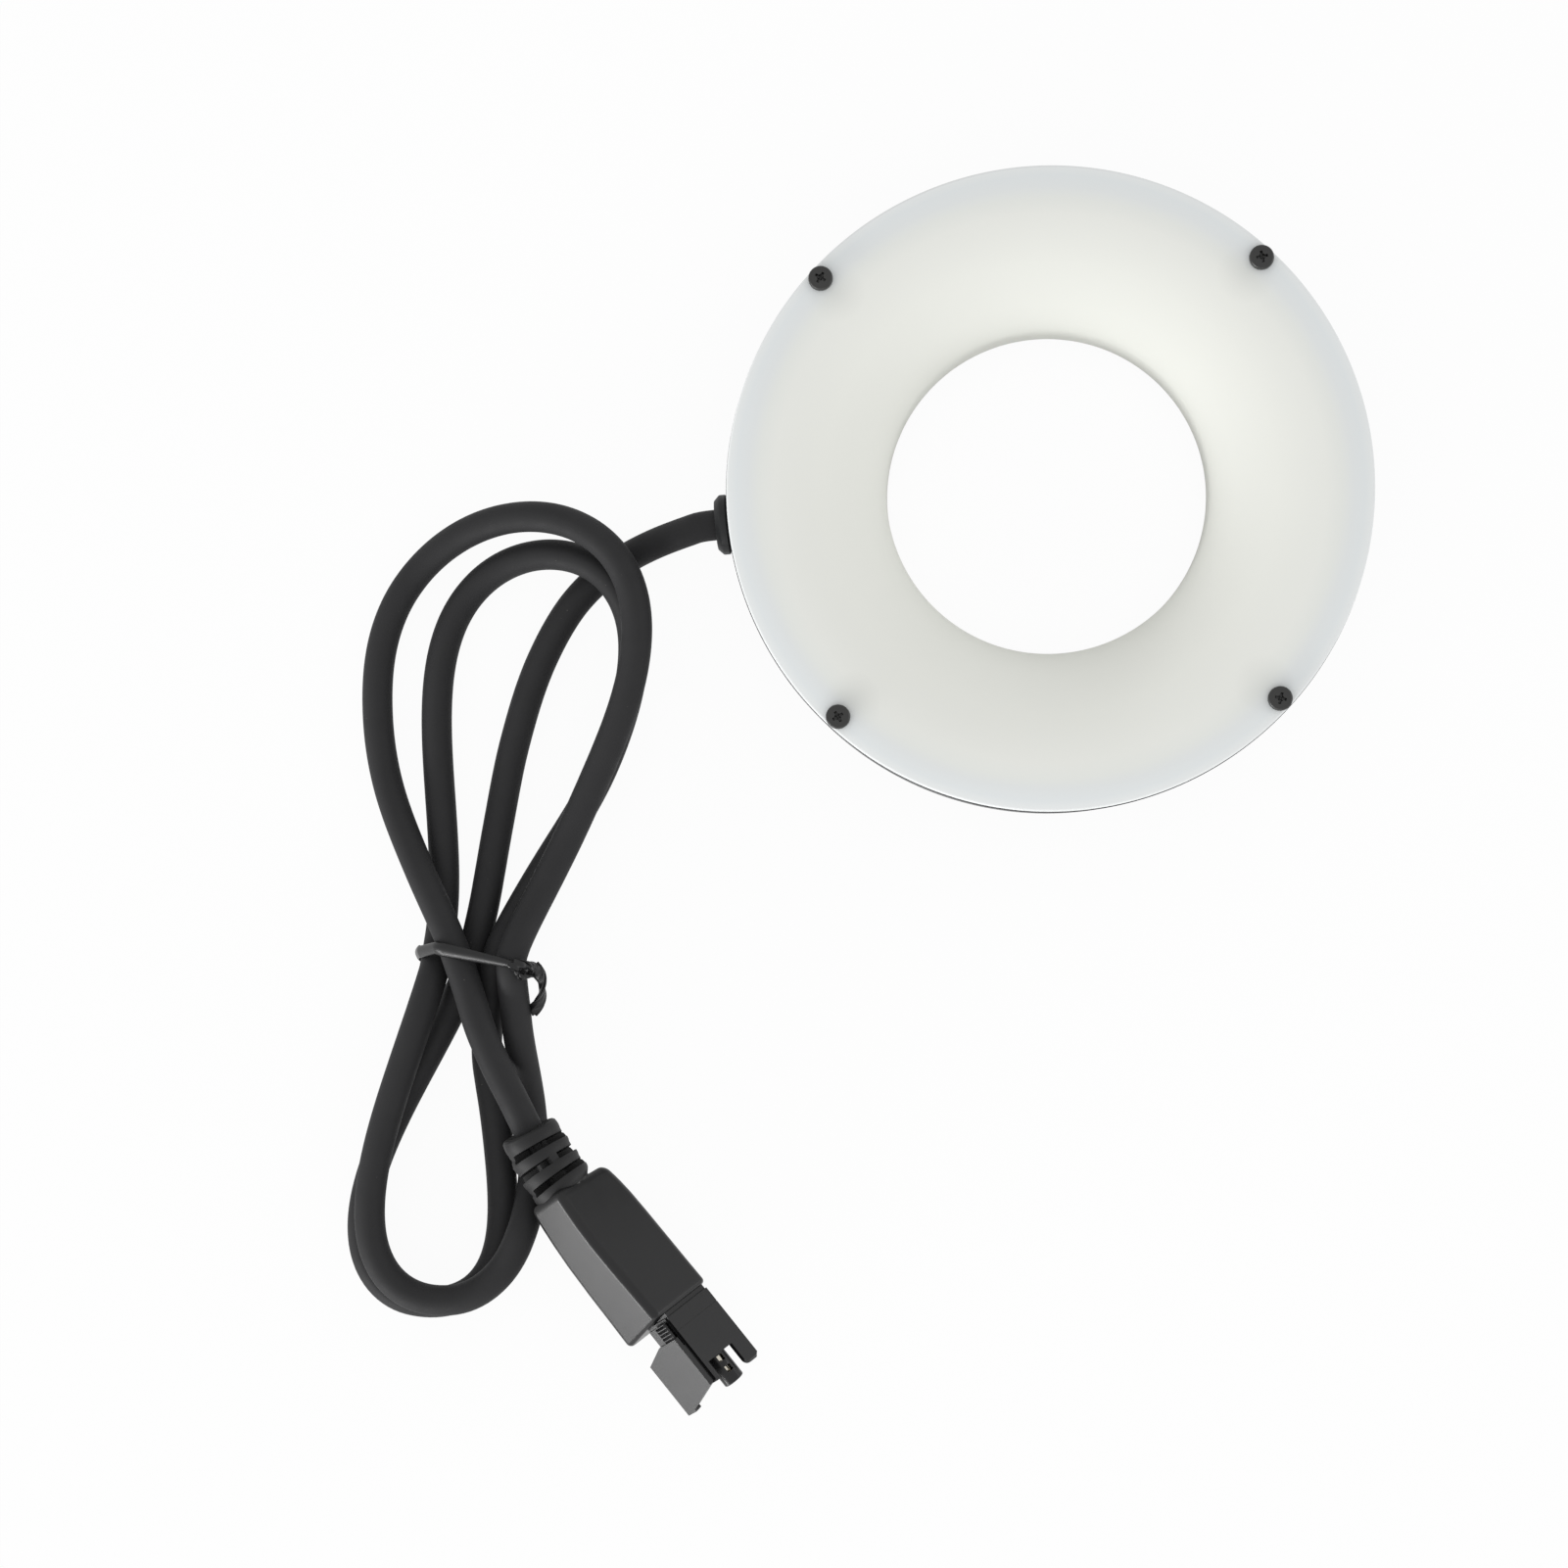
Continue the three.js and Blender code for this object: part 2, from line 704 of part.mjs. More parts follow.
function loopPoint(loop, turn) {
  const half = Math.sin(turn / 2);
  const along = loop.reach * half ** 2;
  const [width, taper] = turn < Math.PI ? [loop.outWidth, loop.outTaper] : [loop.backWidth, loop.backTaper];
  const shift = (turn - Math.sin(turn)) / (2 * Math.PI);
  const slotShift = loop.from + (loop.to - loop.from) * shift;
  const bulge = turn < Math.PI ? 0 : loop.backBulge * Math.exp(-(((along - bulgeAlong) / bulgeRun) ** 2));
  const across = width * Math.sin(turn) * half ** taper + slotShift + loop.sway * half ** 2 + bulge;
  const side = loop.up ? 1 : -1;
  const near = Math.max(0, 1 - along / liftRun);
  const layer = layerAt(loop.layerShares, turn / (2 * Math.PI));
  return new THREE.Vector3(
    waist[0] + side * along * Math.sin(loop.lean) + across * Math.cos(loop.lean),
    waist[1] + side * along * Math.cos(loop.lean) - across * Math.sin(loop.lean),
    cordRadius + floorGap + waistLift * eased(near) + layerHeight * layer,
  );
}

function hankPoints() {
  const points = [];
  for (const loop of loops) {
    for (let i = 0; i <= loopSteps; i++) {
      points.push(loopPoint(loop, loopStart + ((2 * Math.PI - 2 * loopStart) * i) / loopSteps));
    }
  }
  return points;
}

// Route points chosen by hand; the lead's first ones lie on the gland's axis and the tail's last on the plug's.
const leadRoute = [
  [-67.6, -6.6, 8.2],
  [-74.3, -8.8, 5.4],
  [-80, -11.5, 3.8],
  [-84.6, -14.6, 3.1],
  [-90.6, -20.9, 3],
  [-96.7, -32.1, 3],
  [-101.4, -47, 3],
  [-104.4, -62, 3],
  [-106, -71.2, 3.1],
];
const leadJoint = [-107.2, -78, 3.4]; // where the lead meets the hank
const tailJoint = [-108.9, -93.4, 11.9]; // where the hank meets the tail
const tailRoute = [
  [-106.5, -100.5, 13],
  [-103.1, -108.2, 13.1],
  [-100.3, -113.7, 12.8],
];

function vectors(route) {
  return route.map((point) => new THREE.Vector3(...point));
}

function stepBack(from, towards, distance) {
  return from.clone().add(towards.clone().sub(from).setLength(distance));
}

const hank = hankPoints();
const leadEnd = new THREE.Vector3(...leadJoint);
const tailStart = new THREE.Vector3(...tailJoint);
const hankRoute = [
  stepBack(leadEnd, hank[0], fitGap),
  stepBack(leadEnd, hank[0], fitGap + cordDiameter),
  ...hank,
  stepBack(tailStart, hank.at(-1), fitGap + cordDiameter),
  stepBack(tailStart, hank.at(-1), fitGap),
];

const glandSteps = [cordEnd, wallInner, glandMouth + cordRadius];
const leadPoints = [
  ...glandSteps.map((radius) => polar(radius, gland.angle, glandHeight)),
  ...vectors(leadRoute),
  leadEnd.clone().add(leadEnd.clone().sub(hank[0]).setLength(cordDiameter)),
  leadEnd,
];

const tailPoints = [
  tailStart,
  tailStart.clone().add(tailStart.clone().sub(hank.at(-1)).setLength(cordDiameter / 2)),
  ...vectors(tailRoute),
  cordEntry.clone().addScaledVector(cordHeading, -cordRadius),
  cordEntry.clone().addScaledVector(cordHeading, -fitGap),
];

// The least gap between two stretches of the hank, measured on points along its centreline

function leastGap(points) {
  const spacing = cordRadius / 4;
  const apart = 3 * cordDiameter;
  const samples = [];
  let distance = 0;
  for (let i = 1; i < points.length; i++) {
    const length = points[i].distanceTo(points[i - 1]);
    const count = Math.ceil(length / spacing);
    for (let k = 0; k < count; k++) {
      samples.push({ at: distance + (length * k) / count, point: points[i - 1].clone().lerp(points[i], k / count) });
    }
    distance += length;
  }
  let least = Infinity;
  let where = null;
  samples.forEach((one, i) => {
    for (const other of samples.slice(i + 1)) {
      if (other.at - one.at < apart) continue;
      const gap = one.point.distanceTo(other.point) - cordDiameter;
      if (gap < least) {
        least = gap;
        where = one.point;
      }
    }
  });
  return { least, where, distance };
}

// Twist tie: a flat band round the strands at the waist, its twisted knot and the loop of its tail

const tieNormal = new THREE.Vector3(Math.sin(radians(-tie.slope)), Math.cos(radians(tie.slope)), 0);
const tieAcross = new THREE.Vector3(tieNormal.y, -tieNormal.x, 0);
const tieCentre = new THREE.Vector3(waist[0], waist[1], 0);

function crossings(points, offset) {
  const found = [];
  for (let i = 1; i < points.length; i++) {
    const before = points[i - 1].clone().sub(tieCentre).dot(tieNormal) - offset;
    const after = points[i].clone().sub(tieCentre).dot(tieNormal) - offset;
    if (before * after > 0 || before === after) continue;
    const at = points[i - 1].clone().lerp(points[i], before / (before - after)).sub(tieCentre);
    found.push([at.dot(tieAcross), at.z]);
  }
  return found;
}

// The outline round a set of equal circles, as its tangent points in turn
function outlineRound(centres, radius) {
  const outline = [];
  for (let i = 0; i < tie.steps; i++) {
    const angle = (2 * Math.PI * i) / tie.steps;
    const [x, y] = [Math.cos(angle), Math.sin(angle)];
    const far = centres.reduce((best, c) => (c[0] * x + c[1] * y > best[0] * x + best[1] * y ? c : best));
    outline.push([far[0] + radius * x, far[1] + radius * y]);
  }
  return outline;
}

function makeTie() {
  const half = tie.width / 2;
  const centres = [-half, 0, half].flatMap((offset) => crossings(hankRoute, offset));
  const inner = outlineRound(centres, cordRadius + tie.clearance);
  const outer = outlineRound(centres, cordRadius + tie.clearance + tie.thickness);
  const shape = new THREE.Shape(outer.map(([x, y]) => new THREE.Vector2(x, y)));
  shape.holes.push(new THREE.Path(inner.map(([x, y]) => new THREE.Vector2(x, y))));
  const band = new THREE.ExtrudeGeometry(shape, { depth: tie.width, bevelEnabled: false });
  const turn = new THREE.Matrix4().makeBasis(tieAcross, new THREE.Vector3(0, 0, 1), tieNormal.clone().negate());
  band.applyMatrix4(turn).translate(...tieCentre.clone().addScaledVector(tieNormal, half));
  const start = outer[Math.round((tie.steps * tie.knotAngle) / 360)];
  const knotStart = tieCentre.clone().addScaledVector(tieAcross, start[0] - tie.thickness);
  knotStart.z = start[1];
  const knotEnd = knotStart.clone().addScaledVector(tieAcross, tie.knotLength);
  const knotPath = Array.from({ length: tie.knotSteps + 1 }, (unused, i) =>
    knotStart.clone().lerp(knotEnd, i / tie.knotSteps));
  const knot = sweep(knotPath, (share) => twisted(tie.knotWidth, tie.knotWidth / 2, tie.knotTurns * share));
  const reach = tie.knotLength;
  const tailRoute = [
    knotEnd.clone().addScaledVector(tieAcross, -tie.tailWidth / 2),
    knotEnd.clone().addScaledVector(tieAcross, reach / 3).addScaledVector(tieNormal, -reach / 3),
    knotEnd.clone().addScaledVector(tieAcross, reach / 3).addScaledVector(tieNormal, -reach),
    knotEnd.clone().addScaledVector(tieAcross, -reach / 3).addScaledVector(tieNormal, -2 * reach),
  ];
  const tailCurve = new THREE.CatmullRomCurve3(tailRoute);
  const tail = sweep(tailCurve.getPoints(tie.knotSteps), () => twisted(tie.tailWidth, tie.tailThickness, 0));
  return geometryOf(solid(band).add(solid(knot)).add(solid(tail)));
}

function twisted(width, thickness, turns) {
  const angle = 2 * Math.PI * turns;
  const [cos, sin] = [Math.cos(angle), Math.sin(angle)];
  const corners = [[1, 1], [-1, 1], [-1, -1], [1, -1]];
  return corners.map(([a, b]) => {
    const [s, h] = [(a * width) / 2, (b * thickness) / 2];
    return [s * cos - h * sin, s * sin + h * cos];
  });
}

function addCord(group) {
  const leadCurve = new THREE.CatmullRomCurve3(leadPoints, false, "centripetal");
  const tailCurve = new THREE.CatmullRomCurve3(tailPoints, false, "centripetal");
  const freeSection = () => circleSection(cordRadius, cordSides);
  const lead = sweep(leadCurve.getSpacedPoints(leadSteps), freeSection);
  group.add(named("cord_lead", lead, finish.cordJacket));
  const wound = sweep(hankRoute, () => circleSection(cordRadius, hankSides));
  group.add(named("cord_hank", wound, finish.cordJacket));
  const tail = sweep(tailCurve.getSpacedPoints(tailSteps), freeSection);
  group.add(named("cord_tail", tail, finish.cordJacket));
  group.add(named("twist_tie", makeTie(), finish.tiePlastic));
  const measured = leastGap(hankRoute);
  const length = leadCurve.getLength() + measured.distance + tailCurve.getLength();
  const at = measured.where.toArray().map((value) => value.toFixed(1));
  console.log(`least gap of the hank to itself ${measured.least.toFixed(2)} mm at ${at}`);
  console.log(`cord length ${length.toFixed(0)} mm`);
}

// Plug pieces, in the plug's frame

const overmouldEnd = relief.length + overmould.length;
const neckEnd = overmouldEnd + connector.neckLength;
const bodyEnd = neckEnd + connector.bodyLength;
const connectorLow = connector.top - connector.thickness;
const tubeHeight = connectorLow + connector.thickness / 2;
const latchInner = connector.innerSide + latch.gap;
const latchOuter = latchInner + latch.thickness;

function roundedSection(width, thickness, radius) {
  const section = [];
  const corners = [[1, 1], [-1, 1], [-1, -1], [1, -1]];
  corners.forEach(([a, b], quarter) => {
    for (let i = 0; i <= overmould.cornerSteps; i++) {
      const angle = (Math.PI / 2) * (quarter + i / overmould.cornerSteps);
      section.push([
        a * (width / 2 - radius) + radius * Math.cos(angle),
        b * (thickness / 2 - radius) + radius * Math.sin(angle),
      ]);
    }
  });
  return section;
}

function makeRelief() {
  const radiusAt = (x) => relief.startRadius + (relief.endRadius - relief.startRadius) * (x / relief.length);
  const end = relief.length + overmould.shoulder + overrun;
  const profile = [[0, 0], [relief.startRadius - relief.rounding, 0], [relief.startRadius, relief.rounding]];
  for (let i = 0; i < relief.grooves; i++) {
    const start = relief.firstGroove + relief.groovePitch * i;
    const stop = start + relief.grooveWidth;
    profile.push([radiusAt(start), start], [radiusAt(start) - relief.grooveDepth, start]);
    profile.push([radiusAt(stop) - relief.grooveDepth, stop], [radiusAt(stop), stop]);
  }
  profile.push([relief.endRadius - relief.grooveDepth, end], [0, end]);
  return bent(lathe(profile, smallSegments).rotateY(Math.PI / 2));
}

// Bends a shape about the plug's axis as the strain relief is bent, up to its end
function bent(geometry) {
  const axis = new THREE.Vector3(1, 0, 0);
  const sideways = new THREE.Vector3(0, Math.cos(radians(plug.roll)), Math.sin(radians(plug.roll)));
  const upward = axis.clone().cross(sideways);
  const place = geometry.attributes.position;
  const point = new THREE.Vector3();
  for (let i = 0; i < place.count; i++) {
    point.fromBufferAttribute(place, i);
    const share = Math.max(0, 1 - point.x / relief.length);
    const outward = upward.clone().cross(axis.clone().addScaledVector(sideways, -reliefSlope * share)).normalize();
    const moved = new THREE.Vector3(point.x, 0, 0)
      .addScaledVector(sideways, reliefOffset * share ** 2)
      .addScaledVector(outward, point.dot(sideways))
      .addScaledVector(upward, point.dot(upward));
    place.setXYZ(i, ...moved);
  }
  return geometry;
}

function makeOvermould() {
  const startX = relief.length;
  const sizeAt = (share) => [
    overmould.startWidth + (overmould.endWidth - overmould.startWidth) * share,
    overmould.startThickness + (overmould.endThickness - overmould.startThickness) * share,
  ];
  const stations = [
    { share: 0, shrink: overmould.shoulder },
    { share: overmould.shoulder / 3 / overmould.length, shrink: overmould.shoulder / 3 },
    { share: overmould.shoulder / overmould.length, shrink: 0 },
    { share: 1 - overmould.endBevel / overmould.length, shrink: 0 },
    { share: 1, shrink: overmould.endBevel },
  ];
  const rings = stations.map(({ share, shrink }) => {
    const [width, thickness] = sizeAt(share);
    const section = roundedSection(width - shrink, thickness - shrink, overmould.cornerRadius);
    return section.map(([y, z]) => {
      const slanted = (overmould.slant * share * (1 - (2 * z) / thickness)) / 2;
      return new THREE.Vector3(startX + overmould.length * share + slanted, y, z);
    });
  });
  return geometryOf(solid(skin(rings)).add(solid(makeRelief())));
}

// A block given by its places along the plug, towards the latch and in height
function plugBlock(lowX, highX, lowSide, highSide, lowHeight, highHeight) {
  return solid(block(lowX, highX, -highSide, -lowSide, lowHeight, highHeight));
}

function makeConnector() {
  const lean = (overmould.slant * (1 - (2 * connectorLow) / overmould.endThickness)) / 2;
  const start = overmouldEnd + lean + fitGap;
  const { outerSide, innerSide, top, tubeSide } = connector;
  const shelfTop = connectorLow + connector.neckShelf;
  const tubeEnd = bodyEnd + connector.tubeReach;
  let body = plugBlock(start, bodyEnd, outerSide, innerSide, connectorLow, top)
    .add(plugBlock(start, neckEnd, outerSide, latchOuter, connectorLow, shelfTop))
    .add(plugBlock(bodyEnd - overrun, bodyEnd + connector.wallReach, innerSide - connector.wallThickness,
      innerSide, connectorLow, top))
    .add(plugBlock(bodyEnd - overrun, bodyEnd + connector.tongueReach, outerSide,
      outerSide + connector.tongueWidth, top - connector.tongueThickness, top));
  const tube = disc(connector.tubeRadius, bodyEnd - overrun, tubeEnd).rotateY(Math.PI / 2);
  body = body.add(solid(tube.translate(0, -tubeSide, tubeHeight)));
  const bore = disc(connector.tubeBore, tubeEnd - connector.tubeBoreDepth, tubeEnd + overrun);
  body = body.subtract(solid(bore.rotateY(Math.PI / 2).translate(0, -tubeSide, tubeHeight)));
  const windows = Math.floor(connector.tubeReach / connector.windowPitch);
  for (let i = 0; i < windows; i++) {
    const x = bodyEnd + (connector.windowPitch - connector.windowLength) / 2 + connector.windowPitch * i;
    const halfWidth = connector.windowWidth / 2;
    body = body.subtract(plugBlock(x, x + connector.windowLength, tubeSide - halfWidth, tubeSide + halfWidth,
      tubeHeight, tubeHeight + connector.tubeRadius + overrun));
  }
  return geometryOf(body);
}

function makeSleeve() {
  const end = bodyEnd + connector.tubeReach - fitGap;
  const inner = contact.sleeveRadius - contact.sleeveWall;
  const low = end - contact.sleeveLength;
  const tube = ring([[inner, low], [contact.sleeveRadius, low], [contact.sleeveRadius, end], [inner, end]],
    smallSegments);
  return tube.rotateY(Math.PI / 2).translate(0, -connector.tubeSide, tubeHeight);
}

function makePin() {
  const end = bodyEnd + connector.tubeReach - 2 * fitGap;
  const pin = disc(contact.pinRadius, end - contact.pinLength, end);
  return pin.rotateY(Math.PI / 2).translate(0, -connector.tubeSide, tubeHeight);
}

// Latch lever: a flat plate beside the connector, hooked at its nose, with a ribbed tail to press
const latchRoot = neckEnd + latch.rootOffset;
const latchPivot = latchRoot + latch.pivotOffset;

function makeLatch() {
  const top = connector.top;
  const low = top - latch.depth;
  const nose = latchRoot + latch.length;
  const outline = [
    [latchRoot, top],
    [latchRoot, low + latch.rootChamferDepth],
    [latchRoot + latch.rootChamferLength, low],
    [nose, low],
    [nose, low + latch.hookDepth],
    [nose - latch.hookLength, low + latch.hookDepth],
    [nose - latch.noseLean, top],
  ];
  const plate = outlinePlate(outline, latch.thickness).rotateX(Math.PI / 2).translate(0, -latchInner, 0);
  const hook = plugBlock(nose - latch.hookLength, nose, latchOuter - latch.hookThickness, latchOuter,
    low, low + latch.hookDepth);
  const tail = plugBlock(latchRoot - latch.tailLength, latchRoot + latch.thickness, latchInner, latchOuter,
    top - latch.tailDepth, top);
  let body = solid(plate).add(hook).add(tail);
  for (let i = 0; i < latch.ribs; i++) {
    const x = latchRoot - latch.tailLength + (latch.tailLength * i) / latch.ribs;
    body = body.add(plugBlock(x, x + latch.ribWidth, latchOuter - latch.thickness / 2,
      latchOuter + latch.ribHeight, top - latch.tailDepth, top));
  }
  const webHalf = latch.webLength / 2;
  const web = plugBlock(latchPivot - webHalf, latchPivot + webHalf, connector.innerSide + fitGap,
    latchInner + latch.thickness / 2, connectorLow + latch.webInset, top - latch.webInset);
  return geometryOf(body.add(web));
}

function addPlug(group) {
  const set = new THREE.Group();
  set.position.copy(plugOrigin);
  set.quaternion.copy(plugTurn);
  set.add(named("plug_overmould", makeOvermould(), finish.plugPlastic));
  set.add(named("connector_housing", makeConnector(), finish.plugPlastic));
  set.add(named("contact_sleeve", makeSleeve(), finish.nickel));
  set.add(named("contact_pin", makePin(), finish.nickel));
  set.add(named("latch_lever", makeLatch(), finish.plugPlastic));
  group.add(set);
}

// The whole light

const ringLight = new THREE.Group();
ringLight.add(named("housing", makeHousing(), finish.anodised));
ringLight.add(named("diffuser", makeDiffuser(), finish.opal));
addScrews(ringLight);
addBoard(ringLight);
addGland(ringLight);
addCord(ringLight);
addPlug(ringLight);

export default ringLight;
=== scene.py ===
"""The looks of a microscope ring light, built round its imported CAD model. Tables are in millimetres."""
import json
import math

import bmesh
import bpy
from mathutils import Matrix, Vector


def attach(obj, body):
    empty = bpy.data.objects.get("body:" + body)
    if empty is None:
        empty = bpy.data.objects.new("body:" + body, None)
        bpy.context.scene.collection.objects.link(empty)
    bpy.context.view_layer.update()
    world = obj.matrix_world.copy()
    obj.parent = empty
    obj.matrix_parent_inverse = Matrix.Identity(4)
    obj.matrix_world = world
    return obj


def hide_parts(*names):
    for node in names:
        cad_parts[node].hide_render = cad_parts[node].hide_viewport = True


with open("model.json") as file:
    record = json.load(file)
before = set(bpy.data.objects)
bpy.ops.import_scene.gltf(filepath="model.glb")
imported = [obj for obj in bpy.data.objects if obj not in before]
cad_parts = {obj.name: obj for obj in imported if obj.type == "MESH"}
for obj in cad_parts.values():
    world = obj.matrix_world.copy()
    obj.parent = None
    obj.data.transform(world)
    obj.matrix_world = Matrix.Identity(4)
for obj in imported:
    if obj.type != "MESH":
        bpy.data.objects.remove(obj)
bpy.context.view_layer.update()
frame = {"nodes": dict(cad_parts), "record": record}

MM = 0.001
BODY = "ring_light"
LEVER = "lever"

# The main dimensions, as in the CAD model
RING_RADIUS = 60.0
RING_HEIGHT = 20.0
BORE_RADIUS = 30.65
WALL_TOP = 17.7
WALL_INNER = 55.0
RIM_RADIUS = 59.8
RIM_WIDTH = 6.3
RIM_LOW = 18.0
TUBE_RADIUS = 30.2
TUBE_OUTER = 32.0
TUBE_LOW = 2.3
FLARE_DEPTH = 9.0
DIFFUSER_STEP = 1.8
HOUSING_FLOOR = 3.2
HOUSING_LIP = 2.0
LIP_RADIUS = 34.65
HOUSING_EDGE = 0.4
SCREW_CIRCLE = 57.5
SCREW_HOLE = 1.55
SCREW_ANGLES = [47.3, 137.3, 227.3, 317.3]
GLAND_ANGLE = 185.2
GLAND_HEIGHT = 8.85
GLAND_MOUTH = 62.6
GLAND_END = 51.33
GLAND_HOLE = 4.3
FLANGE_RADIUS = 5.65
BOSS_RADIUS = 4.4
BOSS_INSET = 2.1
BOSS_FOOT = 1.6
CORD_DIAMETER = 5.8
CORD_RADIUS = CORD_DIAMETER / 2
LATHE_STEPS = 256

# Camera

CAMERA_PLACE = (-20.3, -64.1, 626.5)
CAMERA_TURN = (0.89, 2.71, 0.03)
CAMERA_FOCUS = 2.0924
SENSOR = 36.0


def new_object(name, data):
    made = bpy.data.objects.new(name, data)
    bpy.context.scene.collection.objects.link(made)
    return made


def add_camera():
    data = bpy.data.cameras.new("photo_camera")
    data.sensor_width = SENSOR
    data.lens = SENSOR * CAMERA_FOCUS
    data.clip_start = 0.01
    data.clip_end = 20
    camera = new_object("photo_camera", data)
    camera.location = Vector(CAMERA_PLACE) * MM
    camera.rotation_euler = [math.radians(turn) for turn in CAMERA_TURN]
    bpy.context.scene.camera = camera


# Mesh helpers

def mesh_object(name, places, faces, scale=MM):
    mesh = bpy.data.meshes.new(name)
    mesh.from_pydata([tuple(Vector(place) * scale) for place in places], [], faces)
    mesh.validate()
    mesh.update()
    return new_object(name, mesh)


def smooth(piece, degrees=35):
    mesh = piece.data
    mesh.shade_smooth()
    mesh.set_sharp_from_angle(angle=math.radians(degrees))
    return piece


def bake(piece):
    """Applies the modifiers of a piece."""
    bpy.context.view_layer.update()
    graph = bpy.context.evaluated_depsgraph_get()
    baked = bpy.data.meshes.new_from_object(piece.evaluated_get(graph))
    piece.modifiers.clear()
    piece.data = baked
    return piece


def combine(piece, other, operation):
    """Adds or cuts another closed piece, which is then removed."""
    change = piece.modifiers.new("combine", "BOOLEAN")
    change.operation = operation
    change.solver = "EXACT"
    change.object = other
    bake(piece)
    bpy.data.objects.remove(other)
    return piece


def cut(piece, other):
    return combine(piece, other, "DIFFERENCE")


def join(piece, other):
    return combine(piece, other, "UNION")


def bevel(piece, width, segments=2, degrees=40):
    change = piece.modifiers.new("bevel", "BEVEL")
    change.width = width * MM
    change.segments = segments
    change.limit_method = "ANGLE"
    change.angle_limit = math.radians(degrees)
    return bake(piece)


def flatten(piece):
    """Weights the shading by face area, so that large faces look flat between their bevels."""
    change = piece.modifiers.new("normals", "WEIGHTED_NORMAL")
    change.keep_sharp = True
    return bake(piece)


def dress(piece, material, nodes=(), body=BODY):
    """Gives a piece its material, the nodes that it stands for and the body that it rides on."""
    piece.data.materials.clear()
    piece.data.materials.append(material)
    if nodes:
        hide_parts(*nodes)
    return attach(piece, body)


def spun(profile, steps):
    """The points of a profile of (radius, height), turned round Z step by step."""
    angles = [2 * math.pi * step / steps for step in range(steps)]
    return [(r * math.cos(angle), r * math.sin(angle), height) for angle in angles for r, height in profile]


def lathe(name, profile, steps=LATHE_STEPS):
    """A closed lathe about Z. The profile is a closed list of (radius, height), counterclockwise."""
    count = len(profile)
    faces = []
    for step in range(steps):
        near = step * count
        far = (step + 1) % steps * count
        for i in range(count):
            j = (i + 1) % count
            faces.append((near + i, far + i, far + j, near + j))
    return mesh_object(name, spun(profile, steps), faces)


def turned(name, profile, steps=48):
    """A lathe about Z whose profile starts and ends on the axis."""
    inner = profile[1:-1]
    count = len(inner)
    places = [(0, 0, profile[0][1]), (0, 0, profile[-1][1]), *spun(inner, steps)]
    faces = []
    for step in range(steps):
        near = 2 + step * count
        far = 2 + (step + 1) % steps * count
        faces.append((0, far, near))
        faces.append((1, near + count - 1, far + count - 1))
        for i in range(count - 1):
            faces.append((near + i, far + i, far + i + 1, near + i + 1))
    return mesh_object(name, places, faces)


def rod(name, radius, low, high, steps=48):
    return turned(name, [(0, low), (radius, low), (radius, high), (0, high)], steps)


def box(name, low, high):
    corners = [(x, y, z) for z in (low[2], high[2]) for y in (low[1], high[1]) for x in (low[0], high[0])]
    faces = [(0, 2, 3, 1), (4, 5, 7, 6), (0, 1, 5, 4), (2, 6, 7, 3), (0, 4, 6, 2), (1, 3, 7, 5)]
    return mesh_object(name, corners, faces)


def hull(name, corners):
    """The convex hull of some corners."""
    shape = bmesh.new()
    for corner in corners:
        shape.verts.new(Vector(corner) * MM)
    made = bmesh.ops.convex_hull(shape, input=shape.verts)
    bmesh.ops.delete(shape, geom=[*{*made["geom_interior"], *made["geom_unused"]}], context="VERTS")
    mesh = bpy.data.meshes.new(name)
    shape.to_mesh(mesh)
    shape.free()
    return new_object(name, mesh)


def moved(piece, matrix):
    """Moves the mesh itself, so that the object stays at the origin."""
    piece.data.transform(matrix)
    piece.data.update()
    return piece


def shift(x, y, z):
    return Matrix.Translation(Vector((x, y, z)) * MM)


def turn(degrees, axis):
    return Matrix.Rotation(math.radians(degrees), 4, axis)


def skin(name, rings, closed=False):
    """A closed mesh over rings of points, capped at both ends unless it closes on itself."""
    count = len(rings[0])
    places = [point for ring in rings for point in ring]
    faces = []
    last = len(rings) if closed else len(rings) - 1
    for k in range(last):
        near = k * count
        far = (k + 1) % len(rings) * count
        for i in range(count):
            j = (i + 1) % count
            faces.append((near + i, near + j, far + j, far + i))
    if not closed:
        faces.append(tuple(reversed(range(count))))
        faces.append(tuple(range((len(rings) - 1) * count, len(rings) * count)))
    return mesh_object(name, places, faces)


def sweep(name, path, section_at):
    """A tube through points, with a section of (side, height) pairs square to the path at each."""
    path = [Vector(point) for point in path]
    last = len(path) - 1
    rings = []
    before = None
    for i, point in enumerate(path):
        along = (path[min(i + 1, last)] - path[max(i - 1, 0)]).normalized()
        if before is None:
            side = Vector((0, 0, 1)).cross(along).normalized()
        else:
            side = before.rotation_difference(along) @ side
        side = (side - along * side.dot(along)).normalized()
        before = along
        up = along.cross(side)
        rings.append([point + side * s + up * h for s, h in section_at(i / last)])
    return skin(name, rings)


def circle(radius, sides):
    return [
        (radius * math.cos(2 * math.pi * i / sides), radius * math.sin(2 * math.pi * i / sides))
        for i in range(sides)
    ]


